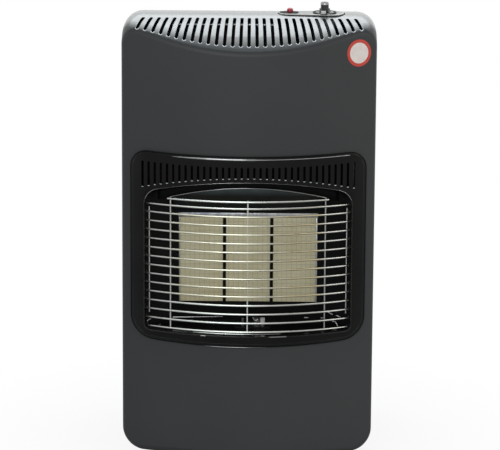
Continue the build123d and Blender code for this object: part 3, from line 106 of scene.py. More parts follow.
class Finish:
    """One procedural material: a shader with nodes that read Object coordinates."""

    MIX_INPUTS = (0, 6, 7)          # factor and two colours of a Mix node set to RGBA
    MIX_OUTPUT = 2

    def __init__(self, name, colour, rough, metallic=0.0, specular=0.5):
        self.mat = bpy.data.materials.new(name)
        self.mat.use_nodes = True
        self.nodes = self.mat.node_tree.nodes
        self.links = self.mat.node_tree.links
        self.shader = self.nodes["Principled BSDF"]
        self.set("Base Color", colour)
        self.set("Roughness", rough)
        self.set("Metallic", metallic)
        self.set("Specular IOR Level", specular)
        self.place = self.nodes.new("ShaderNodeTexCoord").outputs["Object"]
        self.normal = None

    def set(self, socket, value):
        """Set one of the shader's own sockets."""
        feed(self.links, self.shader.inputs[socket], value)

    def base(self):
        """What feeds the shader's colour so far."""
        return self.shader.inputs["Base Color"].links[0].from_socket

    def shift(self, scale=(1, 1, 1), place=(0, 0, 0)):
        """Object coordinates moved and scaled for one pattern."""
        mapping = self.nodes.new("ShaderNodeMapping")
        mapping.inputs["Location"].default_value = place
        mapping.inputs["Scale"].default_value = scale
        self.links.new(self.place, mapping.inputs["Vector"])
        return mapping.outputs["Vector"]

    def split(self, vector=None):
        """X, Y and Z of a vector, or of the Object coordinates."""
        node = self.nodes.new("ShaderNodeSeparateXYZ")
        self.links.new(vector or self.place, node.inputs["Vector"])
        return node.outputs["X"], node.outputs["Y"], node.outputs["Z"]

    def upward(self):
        """How far a face looks up: the Z of its normal."""
        return self.split(self.nodes.new("ShaderNodeNewGeometry").outputs["Normal"])[2]

    def noise(self, scale, detail=3.0, vector=None, rough=0.55):
        node = self.nodes.new("ShaderNodeTexNoise")
        node.inputs["Scale"].default_value = scale
        node.inputs["Detail"].default_value = detail
        node.inputs["Roughness"].default_value = rough
        self.links.new(vector or self.place, node.inputs["Vector"])
        return node.outputs["Fac"]

    def band(self, source, low, high, start=0.0, end=1.0):
        """Map source from low..high to start..end, clamped."""
        node = self.nodes.new("ShaderNodeMapRange")
        node.inputs["From Min"].default_value = low
        node.inputs["From Max"].default_value = high
        node.inputs["To Min"].default_value = start
        node.inputs["To Max"].default_value = end
        self.links.new(source, node.inputs["Value"])
        return node.outputs["Result"]

    def wander(self, noise, start=0.0, end=1.0):
        """Spread a noise, most of which lies between 0.3 and 0.7, over start..end."""
        return self.band(noise, 0.3, 0.7, start, end)

    def math(self, kind, *values):
        """Math node on numbers and sockets."""
        return math_node(self.nodes, self.links, kind, values)

    def product(self, first, *others):
        for other in others:
            first = self.math("MULTIPLY", first, other)
        return first

    def length(self, across, along):
        """Length of the vector with these two parts."""
        squares = (self.product(part, part) for part in (across, along))
        return self.math("SQRT", self.math("ADD", *squares))

    def mix(self, factor, a, b):
        """Mix of two colours, each a tuple or a socket."""
        node = self.nodes.new("ShaderNodeMix")
        node.data_type = "RGBA"
        for index, value in zip(self.MIX_INPUTS, (factor, a, b)):
            feed(self.links, node.inputs[index], value)
        return node.outputs[self.MIX_OUTPUT]

    def soften(self, radius):
        """Rounded look of pressed and trimmed edges; called before any bump."""
        node = self.nodes.new("ShaderNodeBevel")
        node.samples = 4
        node.inputs["Radius"].default_value = radius
        self.normal = node.outputs["Normal"]
        self.set("Normal", self.normal)

    def bump(self, height, strength, depth):
        """Add one layer of relief; later layers ride on earlier ones."""
        node = self.nodes.new("ShaderNodeBump")
        node.inputs["Strength"].default_value = strength
        node.inputs["Distance"].default_value = depth
        self.links.new(height, node.inputs["Height"])
        if self.normal:
            self.links.new(self.normal, node.inputs["Normal"])
        self.normal = node.outputs["Normal"]
        self.set("Normal", self.normal)

    def coat(self, weight, rough, ior):
        """Clear gloss over the finish; weight says how much of it, and where."""
        self.set("Coat Weight", weight)
        self.set("Coat Roughness", rough)
        self.set("Coat IOR", ior)

    def slanted(self):
        """0 on faces seen face on, 1 on those slanted by about 40 degrees and more."""
        slant = self.nodes.new("ShaderNodeLayerWeight")
        slant.inputs["Blend"].default_value = 0.5
        return self.band(slant.outputs["Facing"], 0.10, 0.26)


def worn(name, colour, rough, metallic=0.0, specular=0.5, vary=0.08, spread=0.07, grain=900.0,
         relief=0.00005, patch=9.0, edge=0.0):
    """Finish with uneven colour and gloss, fine grain and faint rubbed patches.

    vary and spread say how much the colour and the roughness wander. grain and patch are the
    scales of the finest and of the widest pattern, and edge the radius of softened edges.
    """
    f = Finish(name, colour, rough, metallic, specular)
    if edge:
        f.soften(edge)
    fine = f.noise(grain, detail=2.0)
    wide = f.noise(patch, detail=4.0)
    rubbed = f.noise(patch * 7, detail=6.0, rough=0.7)
    dark = tuple(c * (1 - vary) for c in colour)
    light = tuple(min(1, c * (1 + vary)) for c in colour)
    f.set("Base Color", f.mix(f.wander(wide), dark, light))
    patchy = f.wander(wide, rough - spread, rough + spread)
    f.set("Roughness", f.math("ADD", patchy, f.band(rubbed, 0.55, 0.8, 0.0, spread)))
    f.bump(fine, strength=0.35, depth=relief)
    return f


PLAIN_FINISHES = {
    # pale lips at the ends of the slots and vents: a painted highlight
    "painted_highlight_lip": dict(colour=(0.62, 0.65, 0.67), rough=0.30, vary=0.12, patch=120.0),
    "inner_enamel": dict(colour=(0.004, 0.0045, 0.004), rough=0.24, specular=0.08, vary=0.2,
                         grain=400.0, patch=22.0, edge=0.0006),
    "hearth_enamel": dict(colour=(0.0045, 0.005, 0.0045), rough=0.42, specular=0.04, vary=0.25,
                          grain=400.0, patch=30.0, edge=0.0006),
    "zinc": dict(colour=(0.52, 0.53, 0.54), rough=0.38, metallic=0.9, vary=0.10, grain=500.0,
                 relief=0.00004, patch=35.0),
    # darkened as painted shade, so that what shows through the air slots stays dark
    "dull_sheet_painted_shade": dict(colour=(0.012, 0.012, 0.0125), rough=0.55, metallic=0.3, specular=0.12,
                       vary=0.15, grain=500.0, relief=0.00004, patch=20.0),
    "sooted_sheet": dict(colour=(0.10, 0.10, 0.10), rough=0.34, metallic=0.8, vary=0.3,
                         patch=90.0),
    "bright_clip": dict(colour=(0.62, 0.63, 0.62), rough=0.30, metallic=0.6, vary=0.10,
                        patch=60.0),
    "brass": dict(colour=(0.66, 0.48, 0.20), rough=0.30, metallic=1.0, vary=0.10, patch=60.0),
    "drawn_tube": dict(colour=(0.12, 0.12, 0.12), rough=0.42, metallic=0.8, vary=0.15,
                       patch=30.0),
    "casting": dict(colour=(0.09, 0.09, 0.09), rough=0.52, metallic=0.7, vary=0.15, grain=600.0,
                    relief=0.00012, patch=60.0),
    "baked_sleeve": dict(colour=(0.035, 0.012, 0.010), rough=0.6, vary=0.2, patch=50.0),
    "black_plastic": dict(colour=(0.006, 0.006, 0.006), rough=0.55, specular=0.10, vary=0.25,
                          grain=1200.0, patch=60.0, edge=0.0004),
    "knob_plastic": dict(colour=(0.014, 0.0135, 0.012), rough=0.34, vary=0.2, grain=1100.0,
                         patch=70.0, edge=0.0006),
    "red_plastic": dict(colour=(0.30, 0.014, 0.024), rough=0.28, vary=0.12, patch=80.0),
    "grey_plate": dict(colour=(0.24, 0.24, 0.23), rough=0.42, specular=0.25, vary=0.10,
                       grain=1000.0, patch=50.0, edge=0.0005),
    "sooted_ceramic": dict(colour=(0.10, 0.10, 0.095), rough=0.40, vary=0.3, patch=120.0),
    "clean_ceramic": dict(colour=(0.62, 0.62, 0.60), rough=0.30, vary=0.2, patch=120.0),
    "magnet_case": dict(colour=(0.05, 0.05, 0.05), rough=0.5, vary=0.1, patch=60.0),
    "wheel_tread": dict(colour=(0.022, 0.022, 0.023), rough=0.55, vary=0.2, grain=500.0,
                        relief=0.0001, patch=40.0),
    "dial_print": dict(colour=(0.62, 0.62, 0.60), rough=0.45, vary=0.06, patch=90.0),
    "dial_face": dict(colour=(0.10, 0.10, 0.10), rough=0.45, specular=0.3, vary=0.25,
                      patch=200.0),
}


def slot_reach(f):
    """Distance in plan from the centre of the slots' lower arc, more past the shoulders."""
    gain = 0.9
    across, along, _ = f.split()
    reach = f.length(across, f.math("SUBTRACT", along, SLOT_ARC_Y))
    past = f.math("SUBTRACT", f.math("ABSOLUTE", across), SHOULDER_X)
    return f.math("ADD", reach, f.product(gain, f.math("MAXIMUM", past, 0.0)))


def case_paint():
    """Anthracite powder coat, with painted shade on the slope below the air slots.

    The crest is glossy; the gloss fades out along the arc where the air slots end.
    """
    f = worn("case_paint", colour=(0.0485, 0.0508, 0.0515), rough=0.42, specular=0.16,
             spread=0.04, grain=1400.0, relief=0.00003, patch=2.6, edge=0.0009)
    reach, upward = slot_reach(f), f.upward()
    crest = f.product(f.slanted(), f.band(upward, 0.10, 0.40),
                      f.band(reach, SLOT_ARC_R + 0.0035, SLOT_ARC_R - 0.0170))
    f.coat(crest, rough=0.27, ior=1.9)
    # painted shade: the slope just below the air slots is darkened where shade falls there
    painted_shade_below_slots = f.product(f.band(reach, SLOT_ARC_R - 0.013, SLOT_ARC_R + 0.001),
                      f.band(upward, 0.15, 0.6))
    f.set("Base Color", f.mix(painted_shade_below_slots, f.base(), (0.023, 0.025, 0.026)))
    return f


def black_enamel():
    """Satin black of the surround, glossy on its slanted rims."""
    f = worn("black_enamel", colour=(0.0074, 0.0073, 0.0067), rough=0.24, specular=0.10,
             vary=0.15, spread=0.05, grain=700.0, patch=14.0, edge=0.0010)
    f.coat(f.slanted(), rough=0.10, ior=1.5)
    return f


def bead_enamel():
    """The same black where it is rolled round a bead and polished by wiping."""
    f = worn("bead_enamel", colour=(0.010, 0.010, 0.010), rough=0.14, vary=0.2, spread=0.06,
             patch=120.0)
    f.coat(1.0, rough=0.10, ior=3.0)
    return f


def bright_wire():
    """Plated wire with a painted highlight to the left of the middle and painted shade to the right
    of it.

    In front of the plaques it is painted straw, a painted reflection of the plaques.
    """
    f = worn("bright_wire", colour=(0.46, 0.46, 0.44), rough=0.30, metallic=1.0, spread=0.06,
             grain=1800.0, relief=0.00003, patch=40.0)
    across, _, up = f.split()
    # painted highlight left of the middle and painted shade right of it, where the lamp's highlight
    # on the wire fades
    painted_highlight_band = f.product(f.band(across, -0.145, -0.075), f.band(across, 0.035, -0.010))
    painted_shade_band = f.product(f.band(across, 0.035, 0.075), f.band(across, 0.150, 0.120))
    # painted reflection: in front of the plaques the wire takes on their straw colour
    plaque_reflection_zone = f.product(f.band(up, 0.284, 0.290), f.band(up, 0.446, 0.436),
                       f.band(across, -0.130, -0.115), f.band(across, 0.126, 0.118))
    away_from_plaques = f.mix(painted_shade_band, f.mix(painted_highlight_band, f.base(), (0.68, 0.71, 0.68)), (0.34, 0.34, 0.32))
    painted_plaque_reflection = f.mix(painted_shade_band, f.mix(painted_highlight_band, (0.44, 0.42, 0.34), (0.68, 0.67, 0.54)), (0.36, 0.31, 0.20))
    f.set("Base Color", f.mix(plaque_reflection_zone, away_from_plaques, painted_plaque_reflection))
    return f


def hood_enamel():
    """Blue-black enamel, with a painted sheen that makes it greyer towards the front edge."""
    f = worn("hood_enamel", colour=(0.012, 0.015, 0.017), rough=0.42, specular=0.12,
             grain=400.0, patch=30.0, edge=0.0006)
    # painted sheen: the upper part towards the front edge is painted greyer-blue where it catches
    # light
    painted_sheen_top = f.band(f.split()[2], 0.455, 0.470)
    uneven_painted_sheen = f.product(painted_sheen_top, f.wander(f.noise(40.0, detail=4.0), 0.6, 1.0))
    f.set("Base Color", f.mix(uneven_painted_sheen, (0.012, 0.014, 0.014), (0.100, 0.125, 0.140)))
    return f


def trim_sheet():
    """Bright steel strip, bluer at the left and blotched with straw by the heat."""
    f = worn("trim_sheet", colour=(0.50, 0.52, 0.56), rough=0.34, metallic=0.75, grain=700.0,
             relief=0.00006, patch=60.0)
    steel = f.mix(f.band(f.split()[0], -0.08, 0.06), (0.19, 0.20, 0.24), (0.38, 0.38, 0.38))
    blotch = f.noise(160.0, detail=4.0, vector=f.shift(scale=(1, 1, 0.5)), rough=0.7)
    blotched = f.mix(f.band(blotch, 0.44, 0.66), steel, (0.50, 0.51, 0.51))
    f.set("Base Color", f.mix(f.band(f.noise(70.0), 0.56, 0.70), blotched, (0.40, 0.38, 0.33)))
    return f


def front_plane(f):
    """X and Z of the Object coordinates, as a flat pattern's X and Y."""
    across, _, up = f.split()
    flat = f.nodes.new("ShaderNodeCombineXYZ")
    f.links.new(across, flat.inputs["X"])
    f.links.new(up, flat.inputs["Y"])
    return flat.outputs["Vector"]


def lattice(f, plane, pitch, line, offset):
    """Square lattice of lines on a plane; offset shifts every other row."""
    node = f.nodes.new("ShaderNodeTexBrick")
    node.offset = offset
    node.inputs["Scale"].default_value = 1.0
    node.inputs["Brick Width"].default_value = pitch
    node.inputs["Row Height"].default_value = pitch
    node.inputs["Mortar Size"].default_value = line
    node.inputs["Mortar Smooth"].default_value = 0.4
    f.links.new(plane, node.inputs["Vector"])
    return node.outputs["Fac"]


def plaque_clay():
    """Beige fired clay pierced by rows of small holes, in a lattice of shallow grooves; holes and
    grooves get painted shade.
    """
    f = Finish("plaque_clay", colour=(0.45, 0.42, 0.31), rough=0.85, specular=0.3)
    plane = front_plane(f)
    wall = lattice(f, plane, pitch=0.0021, line=0.00052, offset=0.5)
    groove = lattice(f, plane, pitch=0.0081, line=0.00050, offset=0.0)
    wide = f.noise(16.0, detail=4.0)
    clay = f.mix(f.wander(wide), (0.72, 0.645, 0.405), (0.83, 0.775, 0.54))
    # painted shade in the holes and in the grooves
    pierced_painted_shade = f.mix(f.band(wall, 0.0, 1.0, 0.52, 0.0), clay, (0.14, 0.12, 0.08))
    grooved_painted_shade = f.mix(f.band(groove, 0.0, 1.0, 0.0, 0.32), pierced_painted_shade, (0.15, 0.13, 0.09))
    f.set("Base Color", grooved_painted_shade)
    f.set("Roughness", f.wander(wide, 0.78, 0.92))
    f.bump(wall, strength=0.5, depth=0.0004)
    f.bump(f.noise(1500.0, detail=2.0), strength=0.3, depth=0.00008)
    return f


def badge_film():
    """Plain cream disc with a red rim."""
    f = Finish("badge_film", colour=(0.80, 0.74, 0.66), rough=0.4)
    centre = box_middle("round_badge")
    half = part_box("round_badge")[1] - centre
    across, _, up = f.split(f.shift(place=(-centre.x, 0, -centre.z)))
    radius = f.length(f.math("DIVIDE", across, half.x), f.math("DIVIDE", up, half.z))
    wide = f.noise(120.0, detail=4.0)
    cream = f.mix(f.wander(wide), (0.76, 0.66, 0.60), (0.84, 0.77, 0.72))
    f.set("Base Color", f.mix(f.band(radius, 0.75, 0.78), cream, (0.55, 0.045, 0.025)))
    f.set("Roughness", f.wander(wide, 0.3, 0.45))
    f.bump(f.noise(500.0), strength=0.2, depth=0.00004)
    return f


FINISHES = {name: worn(name, **look) for name, look in PLAIN_FINISHES.items()}
FINISHES.update(case_paint=case_paint(), black_enamel=black_enamel(), bead_enamel=bead_enamel(),
                bright_wire=bright_wire(), hood_enamel=hood_enamel(), trim_sheet=trim_sheet(),
                plaque_clay=plaque_clay(), badge_film=badge_film())

CASTORS = ("front_left", "front_right", "rear_left", "rear_right")
WEAR = {
    "case_paint": ("front_panel", "side_panel_left", "side_panel_right", "top_panel",
                   "rear_frame", "rear_door"),
    "black_enamel": ("front_surround",),
    "inner_enamel": ("burner_frame", "reflector_left", "reflector_right"),
    "hood_enamel": ("reflector_hood",),
    "hearth_enamel": ("reflector_floor",),
    "bright_wire": ("fire_guard",),
    "zinc": ("door_hinges", "hinge_pins", "base_tray", "mixing_tubes", "injector_rail",
             "push_collar", "rear_screws", "castor_plates",
             *(f"castor_fork_{corner}" for corner in CASTORS)),
    "dull_sheet_painted_shade": ("burner_box", "heat_shield", "pilot_bracket", "valve_bracket"),
    "sooted_sheet": ("pilot_burner",),
    "brass": ("injectors", "valve_stem", "hose_tail"),
    "drawn_tube": ("thermocouple", "feed_pipe_left", "feed_pipe_centre", "feed_pipe_right",
                   "pilot_pipe", "inlet_pipe"),
    "casting": ("valve_body",),
    "baked_sleeve": ("ignition_lead",),
    "black_plastic": ("knob_disc", "plate_gasket", "igniter_body", "igniter_bezel"),
    "knob_plastic": ("control_knob",),
    "red_plastic": ("igniter_button",),
    "grey_plate": ("control_plate",),
    "sooted_ceramic": ("ignition_electrode",),
    "magnet_case": ("door_magnet",),
    "wheel_tread": tuple(f"castor_wheel_{corner}" for corner in CASTORS),
    "plaque_clay": ("ceramic_plaque_left", "ceramic_plaque_centre", "ceramic_plaque_right"),
    "badge_film": ("round_badge",),
}


def dress(obj, finish):
    obj.data.materials.clear()
    obj.data.materials.append(FINISHES[finish].mat)


for finish, names in WEAR.items():
    for name in names:
        dress(NODES[name], finish)


# ---------------------------------------------------------------- ways to make small pieces
def fit_mesh(mesh, name, finish, body="cabinet", smooth=True):
    """Put a finished mesh into the scene, dress it and let it ride on its body."""
    mesh.polygons.foreach_set("use_smooth", [smooth] * len(mesh.polygons))
    obj = bpy.data.objects.new(name, mesh)
    bpy.context.collection.objects.link(obj)
    dress(obj, finish)
    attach(obj, body)


def mesh_of(bm, name):
    """The mesh that a finished bmesh holds."""
    mesh = bpy.data.meshes.new(name)
    bm.to_mesh(mesh)
    bm.free()
    return mesh


def rolled_wire(name, runs, radius, finish, taper=1.0, girth=None):
    """Round beads along runs of points, as one piece.

    taper is the last point's share of the radius, and girth(x) the share at each x.
    """
    route = bpy.data.curves.new(name + "_route", "CURVE")
    route.dimensions = "3D"
    route.bevel_depth = radius
    route.bevel_resolution = 3
    route.use_fill_caps = True
    for points in runs:
        spline = route.splines.new("POLY")
        spline.points.add(len(points) - 1)
        for index, (knot, point) in enumerate(zip(spline.points, points)):
            knot.co = (*point, 1)
            knot.radius = 1 + (taper - 1) * index / (len(points) - 1)
            if girth:
                knot.radius *= girth(point[0])
    holder = bpy.data.objects.new(name + "_route", route)
    bpy.context.collection.objects.link(holder)
    mesh = bpy.data.meshes.new_from_object(holder.evaluated_get(
        bpy.context.evaluated_depsgraph_get()))
    mesh.name = name
    bpy.data.objects.remove(holder)
    fit_mesh(mesh, name, finish)


def bars(name, blocks, finish, edge, body="cabinet", place=None):
    """Flat bars with bevelled edges; each block is a low corner, a high corner and a turn."""
    bm = bmesh.new()
    for low, high, turn in blocks:
        low, high = Vector(low), Vector(high)
        made = bmesh.ops.create_cube(bm, size=1.0)["verts"]
        bmesh.ops.scale(bm, verts=made, vec=high - low)
        bmesh.ops.translate(bm, verts=made, vec=(low + high) / 2)
        bmesh.ops.rotate(bm, verts=made, cent=(0, 0, 0), matrix=Matrix.Rotation(turn, 3, "Z"))
    bmesh.ops.bevel(bm, geom=bm.edges[:], offset=edge, segments=2, affect="EDGES", profile=0.5,
                    material=-1)
    if place:
        bmesh.ops.transform(bm, matrix=place, verts=bm.verts)
    fit_mesh(mesh_of(bm, name), name, finish, body)


def turned_ring(name, radii, heights, finish, place):
    """Flat ring turned about Z from a four-cornered section, then set in its place."""
    bm = bmesh.new()
    inner, outer = radii
    low, high = heights
    corners = [bm.verts.new((radius, 0, height)) for radius, height in
               ((inner, low), (outer, low), (outer, high), (inner, high))]
    section = [bm.edges.new((corners[i - 1], corners[i])) for i in range(4)]
    bmesh.ops.spin(bm, geom=section, cent=(0, 0, 0), axis=(0, 0, 1), angle=math.tau, steps=64,
                   use_merge=True)
    bmesh.ops.remove_doubles(bm, verts=bm.verts[:], dist=0.000001)
    bmesh.ops.recalc_face_normals(bm, faces=bm.faces[:])
    bmesh.ops.transform(bm, matrix=place, verts=bm.verts)
    fit_mesh(mesh_of(bm, name), name, finish, smooth=False)


def spread_over(low, high, steps):
    """Evenly spaced values from low to high."""
    return [low + (high - low) * i / steps for i in range(steps + 1)]


def ramp(x, start, end):
    """0 up to start, 1 from end on."""
    return min(1, max(0, (x - start) / (end - start)))


def hump(x, centre, spread, power=2):
    """Smooth hump, 1 high at its centre."""
    return math.exp(-((x - centre) / spread) ** power)


# ---------------------------------------------------------------- bowed outlines
EDGE_STEPS = 40
CORNER_STEPS = 8


def on_bow(x, z, radius):
    """Point on the bowed front at this radius about the bow's centre."""
    return (x, BOW_CENTRE_Y - math.sqrt(radius ** 2 - x ** 2), z)


def bowed_height(x, half, heights):
    """Height of a bowed edge at x."""
    middle, end = heights
    return middle + (end - middle) * (x / half) ** 2


def edge_and_corner(half, heights, corner, up):
    """Right half of a bowed edge from its middle outwards, then its round corner."""
    out = Vector((2 * (heights[0] - heights[1]) / half * up, 1)).normalized()
    touch = half - corner + corner * out.x
    centre_x = half - corner
    centre_z = bowed_height(touch, half, heights) - up * corner * out.y
    start = math.atan2(out.y, out.x)
    edge = [(x, bowed_height(x, half, heights))
            for x in (touch * i / EDGE_STEPS for i in range(EDGE_STEPS))]
    arc = [(centre_x + corner * math.cos(turn), centre_z + up * corner * math.sin(turn))
           for turn in (start * (1 - i / CORNER_STEPS) for i in range(CORNER_STEPS + 1))]
    return edge + arc


def bowed_ring(half, top, bottom, corners, radius, inset):
    """Points once round a bowed outline, inset from its edge."""
    top = [height - inset for height in top]
    bottom = [height + inset for height in bottom]
    half -= inset
    right = (edge_and_corner(half, top, corners[0] - inset, 1)
             + edge_and_corner(half, bottom, corners[1] - inset, -1)[::-1])
    left = [(-x, z) for x, z in right[-2:0:-1]]
    return [on_bow(x, z, radius) for x, z in right + left]


def mouth_ring(radius, inset):
    """Points once round the mouth."""
    return bowed_ring(MOUTH_HALF, MOUTH_TOP, MOUTH_BOTTOM, (MOUTH_TOP_CORNER, MOUTH_CORNER),
                      radius, inset)


def surround_ring(radius, inset):
    """Points once round the surround."""
    return bowed_ring(SURROUND_HALF, SURROUND_TOP, SURROUND_BOTTOM, SURROUND_CORNERS, radius,
                      inset)


# ---------------------------------------------------------------- edges of the surround
def make_bead(name, ring, shoulder, radius, girth):
    """Bright bead along a ring's top, down to its shoulder, and a black rim round the rest."""
    overlap = 0.004
    upper = sorted(point for point in ring if point[2] > shoulder)
    rolled_wire(name + "_bead", [upper], radius, "bead_enamel", girth=girth)
    lower = [point for point in ring if point[2] < shoulder + overlap]
    rolled_wire(name + "_rim", [lower], 0.0009, "black_enamel")


def make_beads():
    """Rolled edge of the mouth and pressed bead round the surround.

    Both are brightest along the top, where they are rubbed when the front is wiped.
    """
    def mouth_girth(x):
        return 0.12 + 0.30 * hump(x, -0.045, 0.055) + 0.40 * ramp(abs(x), 0.145, 0.160)

    def surround_girth(x):
        fade = ramp(x, 0.182, 0.162) if x > 0 else ramp(x, -0.160, -0.110)
        return (0.47 + 0.55 * hump(x, -0.040, 0.058, 4)) * max(0.1, fade)

    make_bead("mouth", mouth_ring(FACE_R, -MOUTH_ROLL), shoulder=0.4520, radius=0.0008,
              girth=mouth_girth)
    make_bead("surround", surround_ring(FACE_R - 0.0006, 0.0050), shoulder=0.5180, radius=0.0018,
              girth=surround_girth)


def make_mouth_rubs():
    """Two places on the mouth's lower edge that are rubbed bright."""
    highest = 0.2325
    lower = [point for point in sorted(mouth_ring(FACE_R, -MOUTH_ROLL)) if point[2] < highest]
    rubs = [[point for point in lower if start < point[0] < end]
            for start, end in ((-0.080, -0.067), (0.034, 0.066))]
    rolled_wire("mouth_rubs", rubs, 0.0010, "bead_enamel",
                girth=lambda x: 0.925 if x > 0 else 1.0)


def make_surround_shadow_line():
    """Dark line round the surround's outer edge, a painted shadow of the gap there, and a faint
    gleam along its foot.
    """
    # painted shadow: a dark bead along the surround's outline
    outline = surround_ring(FACE_R - 0.0008, 0.0010)
    rolled_wire("surround_shadow_line", [outline + outline[:1]], 0.0013, "hearth_enamel")
    highest, middle, half = 0.2150, -0.020, 0.055
    foot = [point for point in sorted(surround_ring(FACE_R - 0.0002, -0.0003))
            if point[2] < highest and abs(point[0] - middle) < half]
    rolled_wire("surround_foot", [foot], 0.0009, "bead_enamel",
                girth=lambda x: 0.62 * max(0.1, 1 - ((x - middle) / 0.058) ** 2))


def make_mouth_webs():
    """Web that rounds off each upper corner of the mouth."""
    lap = 0.0004                    # past the cut edge, and behind the surround's face
    seen = edge_and_corner(MOUTH_HALF, MOUTH_TOP, MOUTH_TOP_CORNER, 1)
    cut = edge_and_corner(MOUTH_HALF + lap, [z + lap for z in MOUTH_TOP], MOUTH_CORNER, 1)
    bm = bmesh.new()
    for side in (-1, 1):
        edges = []
        for outline in (seen, cut):
            row = [bm.verts.new(on_bow(side * x, z, FACE_R - lap))
                   for x, z in outline[-1 - CORNER_STEPS:]]
            edges += [bm.edges.new(pair) for pair in zip(row, row[1:])]
        bmesh.ops.bridge_loops(bm, edges=edges)
    bmesh.ops.recalc_face_normals(bm, faces=bm.faces[:])
    bmesh.ops.solidify(bm, geom=bm.faces[:], thickness=0.0010)
    fit_mesh(mesh_of(bm, "mouth_webs"), "mouth_webs", "black_enamel", smooth=False)


# ---------------------------------------------------------------- lips of the air openings
def make_air_slot_lips():
    """Rolled lip round the lower end of each air slot, laid on the folded sheet; its pale colour is
    a painted highlight.
    """
    above = 1.0                     # height from which rays look down on the sheet
    skin = BVHTree.FromObject(NODES["front_panel"], bpy.context.evaluated_depsgraph_get())
    offset = SLOT_FAN_Y - SLOT_ARC_Y
    lip = SLOT_WIDTH / 2 + 0.0005
    turns = [math.radians(17 * step) for step in range(-4, 5)]
    runs = []
    for index in range(SLOT_COUNT):
        angle = (index - (SLOT_COUNT - 1) / 2) * SLOT_PITCH
        reach = offset * math.cos(angle) + math.sqrt(
            SLOT_ARC_R ** 2 - (offset * math.sin(angle)) ** 2)
        middle = reach - SLOT_WIDTH / 2
        run = []
        for turn in turns:
            x = middle * math.sin(angle) + lip * math.sin(angle + turn)
            y = SLOT_FAN_Y - middle * math.cos(angle) - lip * math.cos(angle + turn)
            hit = skin.ray_cast(Vector((x, y, above)), Vector((0, 0, -1)))[0]
            if hit:
                run.append(hit)
        runs.append(run)
    rolled_wire("air_slot_lips", runs, 0.00065, "painted_highlight_lip")


def make_vent_lips():
    """Rolled lip round the lower end of each upright vent of the surround; its pale colour is a
    painted highlight.
    """
    last = (VENT_COUNT - 1) / 2 * VENT_PITCH
    lip = VENT_WIDTH / 2 + 0.0003
    turns = [math.radians(20 * step) for step in range(-2, 3)]
    runs = []
    for index in range(VENT_COUNT):
        x = index * VENT_PITCH - last
        z = VENT_LOW - VENT_DROP * (x / last) ** 2 + VENT_WIDTH / 2
        runs.append([on_bow(x + lip * math.sin(turn), z - lip * math.cos(turn), FACE_R)
                     for turn in turns])
    rolled_wire("vent_lips", runs, 0.0005, "painted_highlight_lip")


# ---------------------------------------------------------------- round the fire
def make_burner_trim():
    """Bright strip over the plaques' top edge and narrow strips down both sides."""
    frame_low, frame_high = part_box("burner_frame")
    face = frame_low.y - 0.0003
    half = frame_high.x - 0.009
    top, low = frame_high.z - 0.007, frame_low.z + 0.007
    blocks = [((-half - 0.001, face - 0.0016, top - 0.0046), (half + 0.001, face, top + 0.0026), 0)]
    for side, width in ((-1, 0.0014), (1, 0.0028)):
        edges = sorted((side * half, side * (half - width)))
        blocks.append(((edges[0], face - 0.0012, low), (edges[1], face, top - 0.005), 0))
    bars("burner_trim", blocks, "trim_sheet", edge=0.0004)


def make_shelf_edge():
    """Bright folded edge of the shelf that shows through the air slots."""
    y, z = -0.1018, 0.7366
    rolled_wire("shelf_edge", [[(-0.127, y, z), (0.045, y, z)]], 0.0016, "bright_clip")


def make_hood_apron_shade():
    """Arched apron hanging behind the mouth's upper edge, its dark finish a painted shade there,
    with a bright lip.
    """
    def hem(x):
        return APRON_FOOT - APRON_DROP * (x / APRON_LIP_HALF) ** 2

    bm = bmesh.new()
    bmesh.ops.create_grid(bm, x_segments=48, y_segments=2, size=1.0)
    for vert in bm.verts:
        x, share = vert.co.x * APRON_HALF, (vert.co.y + 1) / 2
        head = bowed_height(x, MOUTH_HALF, MOUTH_TOP) - 0.0003
        vert.co = on_bow(x, hem(x) + share * (head - hem(x)), APRON_R)
    bmesh.ops.recalc_face_normals(bm, faces=bm.faces[:])
    bmesh.ops.solidify(bm, geom=bm.faces[:], thickness=0.0006)
    # painted shade: the dark sheet stands for the shade under the mouth's upper edge
    fit_mesh(mesh_of(bm, "hood_apron_shade"), "hood_apron_shade", "hearth_enamel")
    lip = [on_bow(x, hem(x), APRON_R + 0.0004)
           for x in spread_over(-APRON_LIP_HALF, APRON_LIP_HALF, 40)]
    rolled_wire("hood_lip", [lip], 0.0008, "bead_enamel")


def make_hearth_glints():
    """Bright seam and small spring clips that hold the sheets round the fire, set where glints fall
    as painted highlights.
    """
    # painted highlights: bright seam and clips where the enamel round the fire shows glints
    seam = [(-0.1257, HEARTH_Y, 0.2404), (-0.108, HEARTH_Y, 0.2406), (-0.075, HEARTH_Y, 0.2414),
            (-0.042, HEARTH_Y, 0.2420)]
    rolled_wire("hearth_seam_glint", [seam], 0.0012, "bright_clip", taper=0.25)
    right = [[(0.1339, -0.1112, 0.2522), (0.1432, -0.1149, 0.2484)],
             [(0.1491, -0.1172, 0.2478), (0.1561, -0.1200, 0.2450)],
             [(0.1420, -0.1146, 0.2373), (0.1479, -0.1170, 0.2362), (0.1500, -0.1190, 0.2335),
              (0.1516, -0.1200, 0.2306)]]
    left = [[(-0.1688, -0.1251, 0.2371), (-0.1660, -0.1240, 0.2395), (-0.1622, -0.1225, 0.2409)],
            [(-0.1509, -0.1300, 0.2304), (-0.1467, -0.1198, 0.2304)]]
    flat = [[(0.0955, -0.1091, 0.2414), (0.1022, -0.1091, 0.2415)],
            [(0.1236, -0.1091, 0.2411), (0.1281, -0.1091, 0.2412)]]
    rolled_wire("spring_clip_glints", right + left + flat, 0.0008, "bright_clip", taper=0.8)


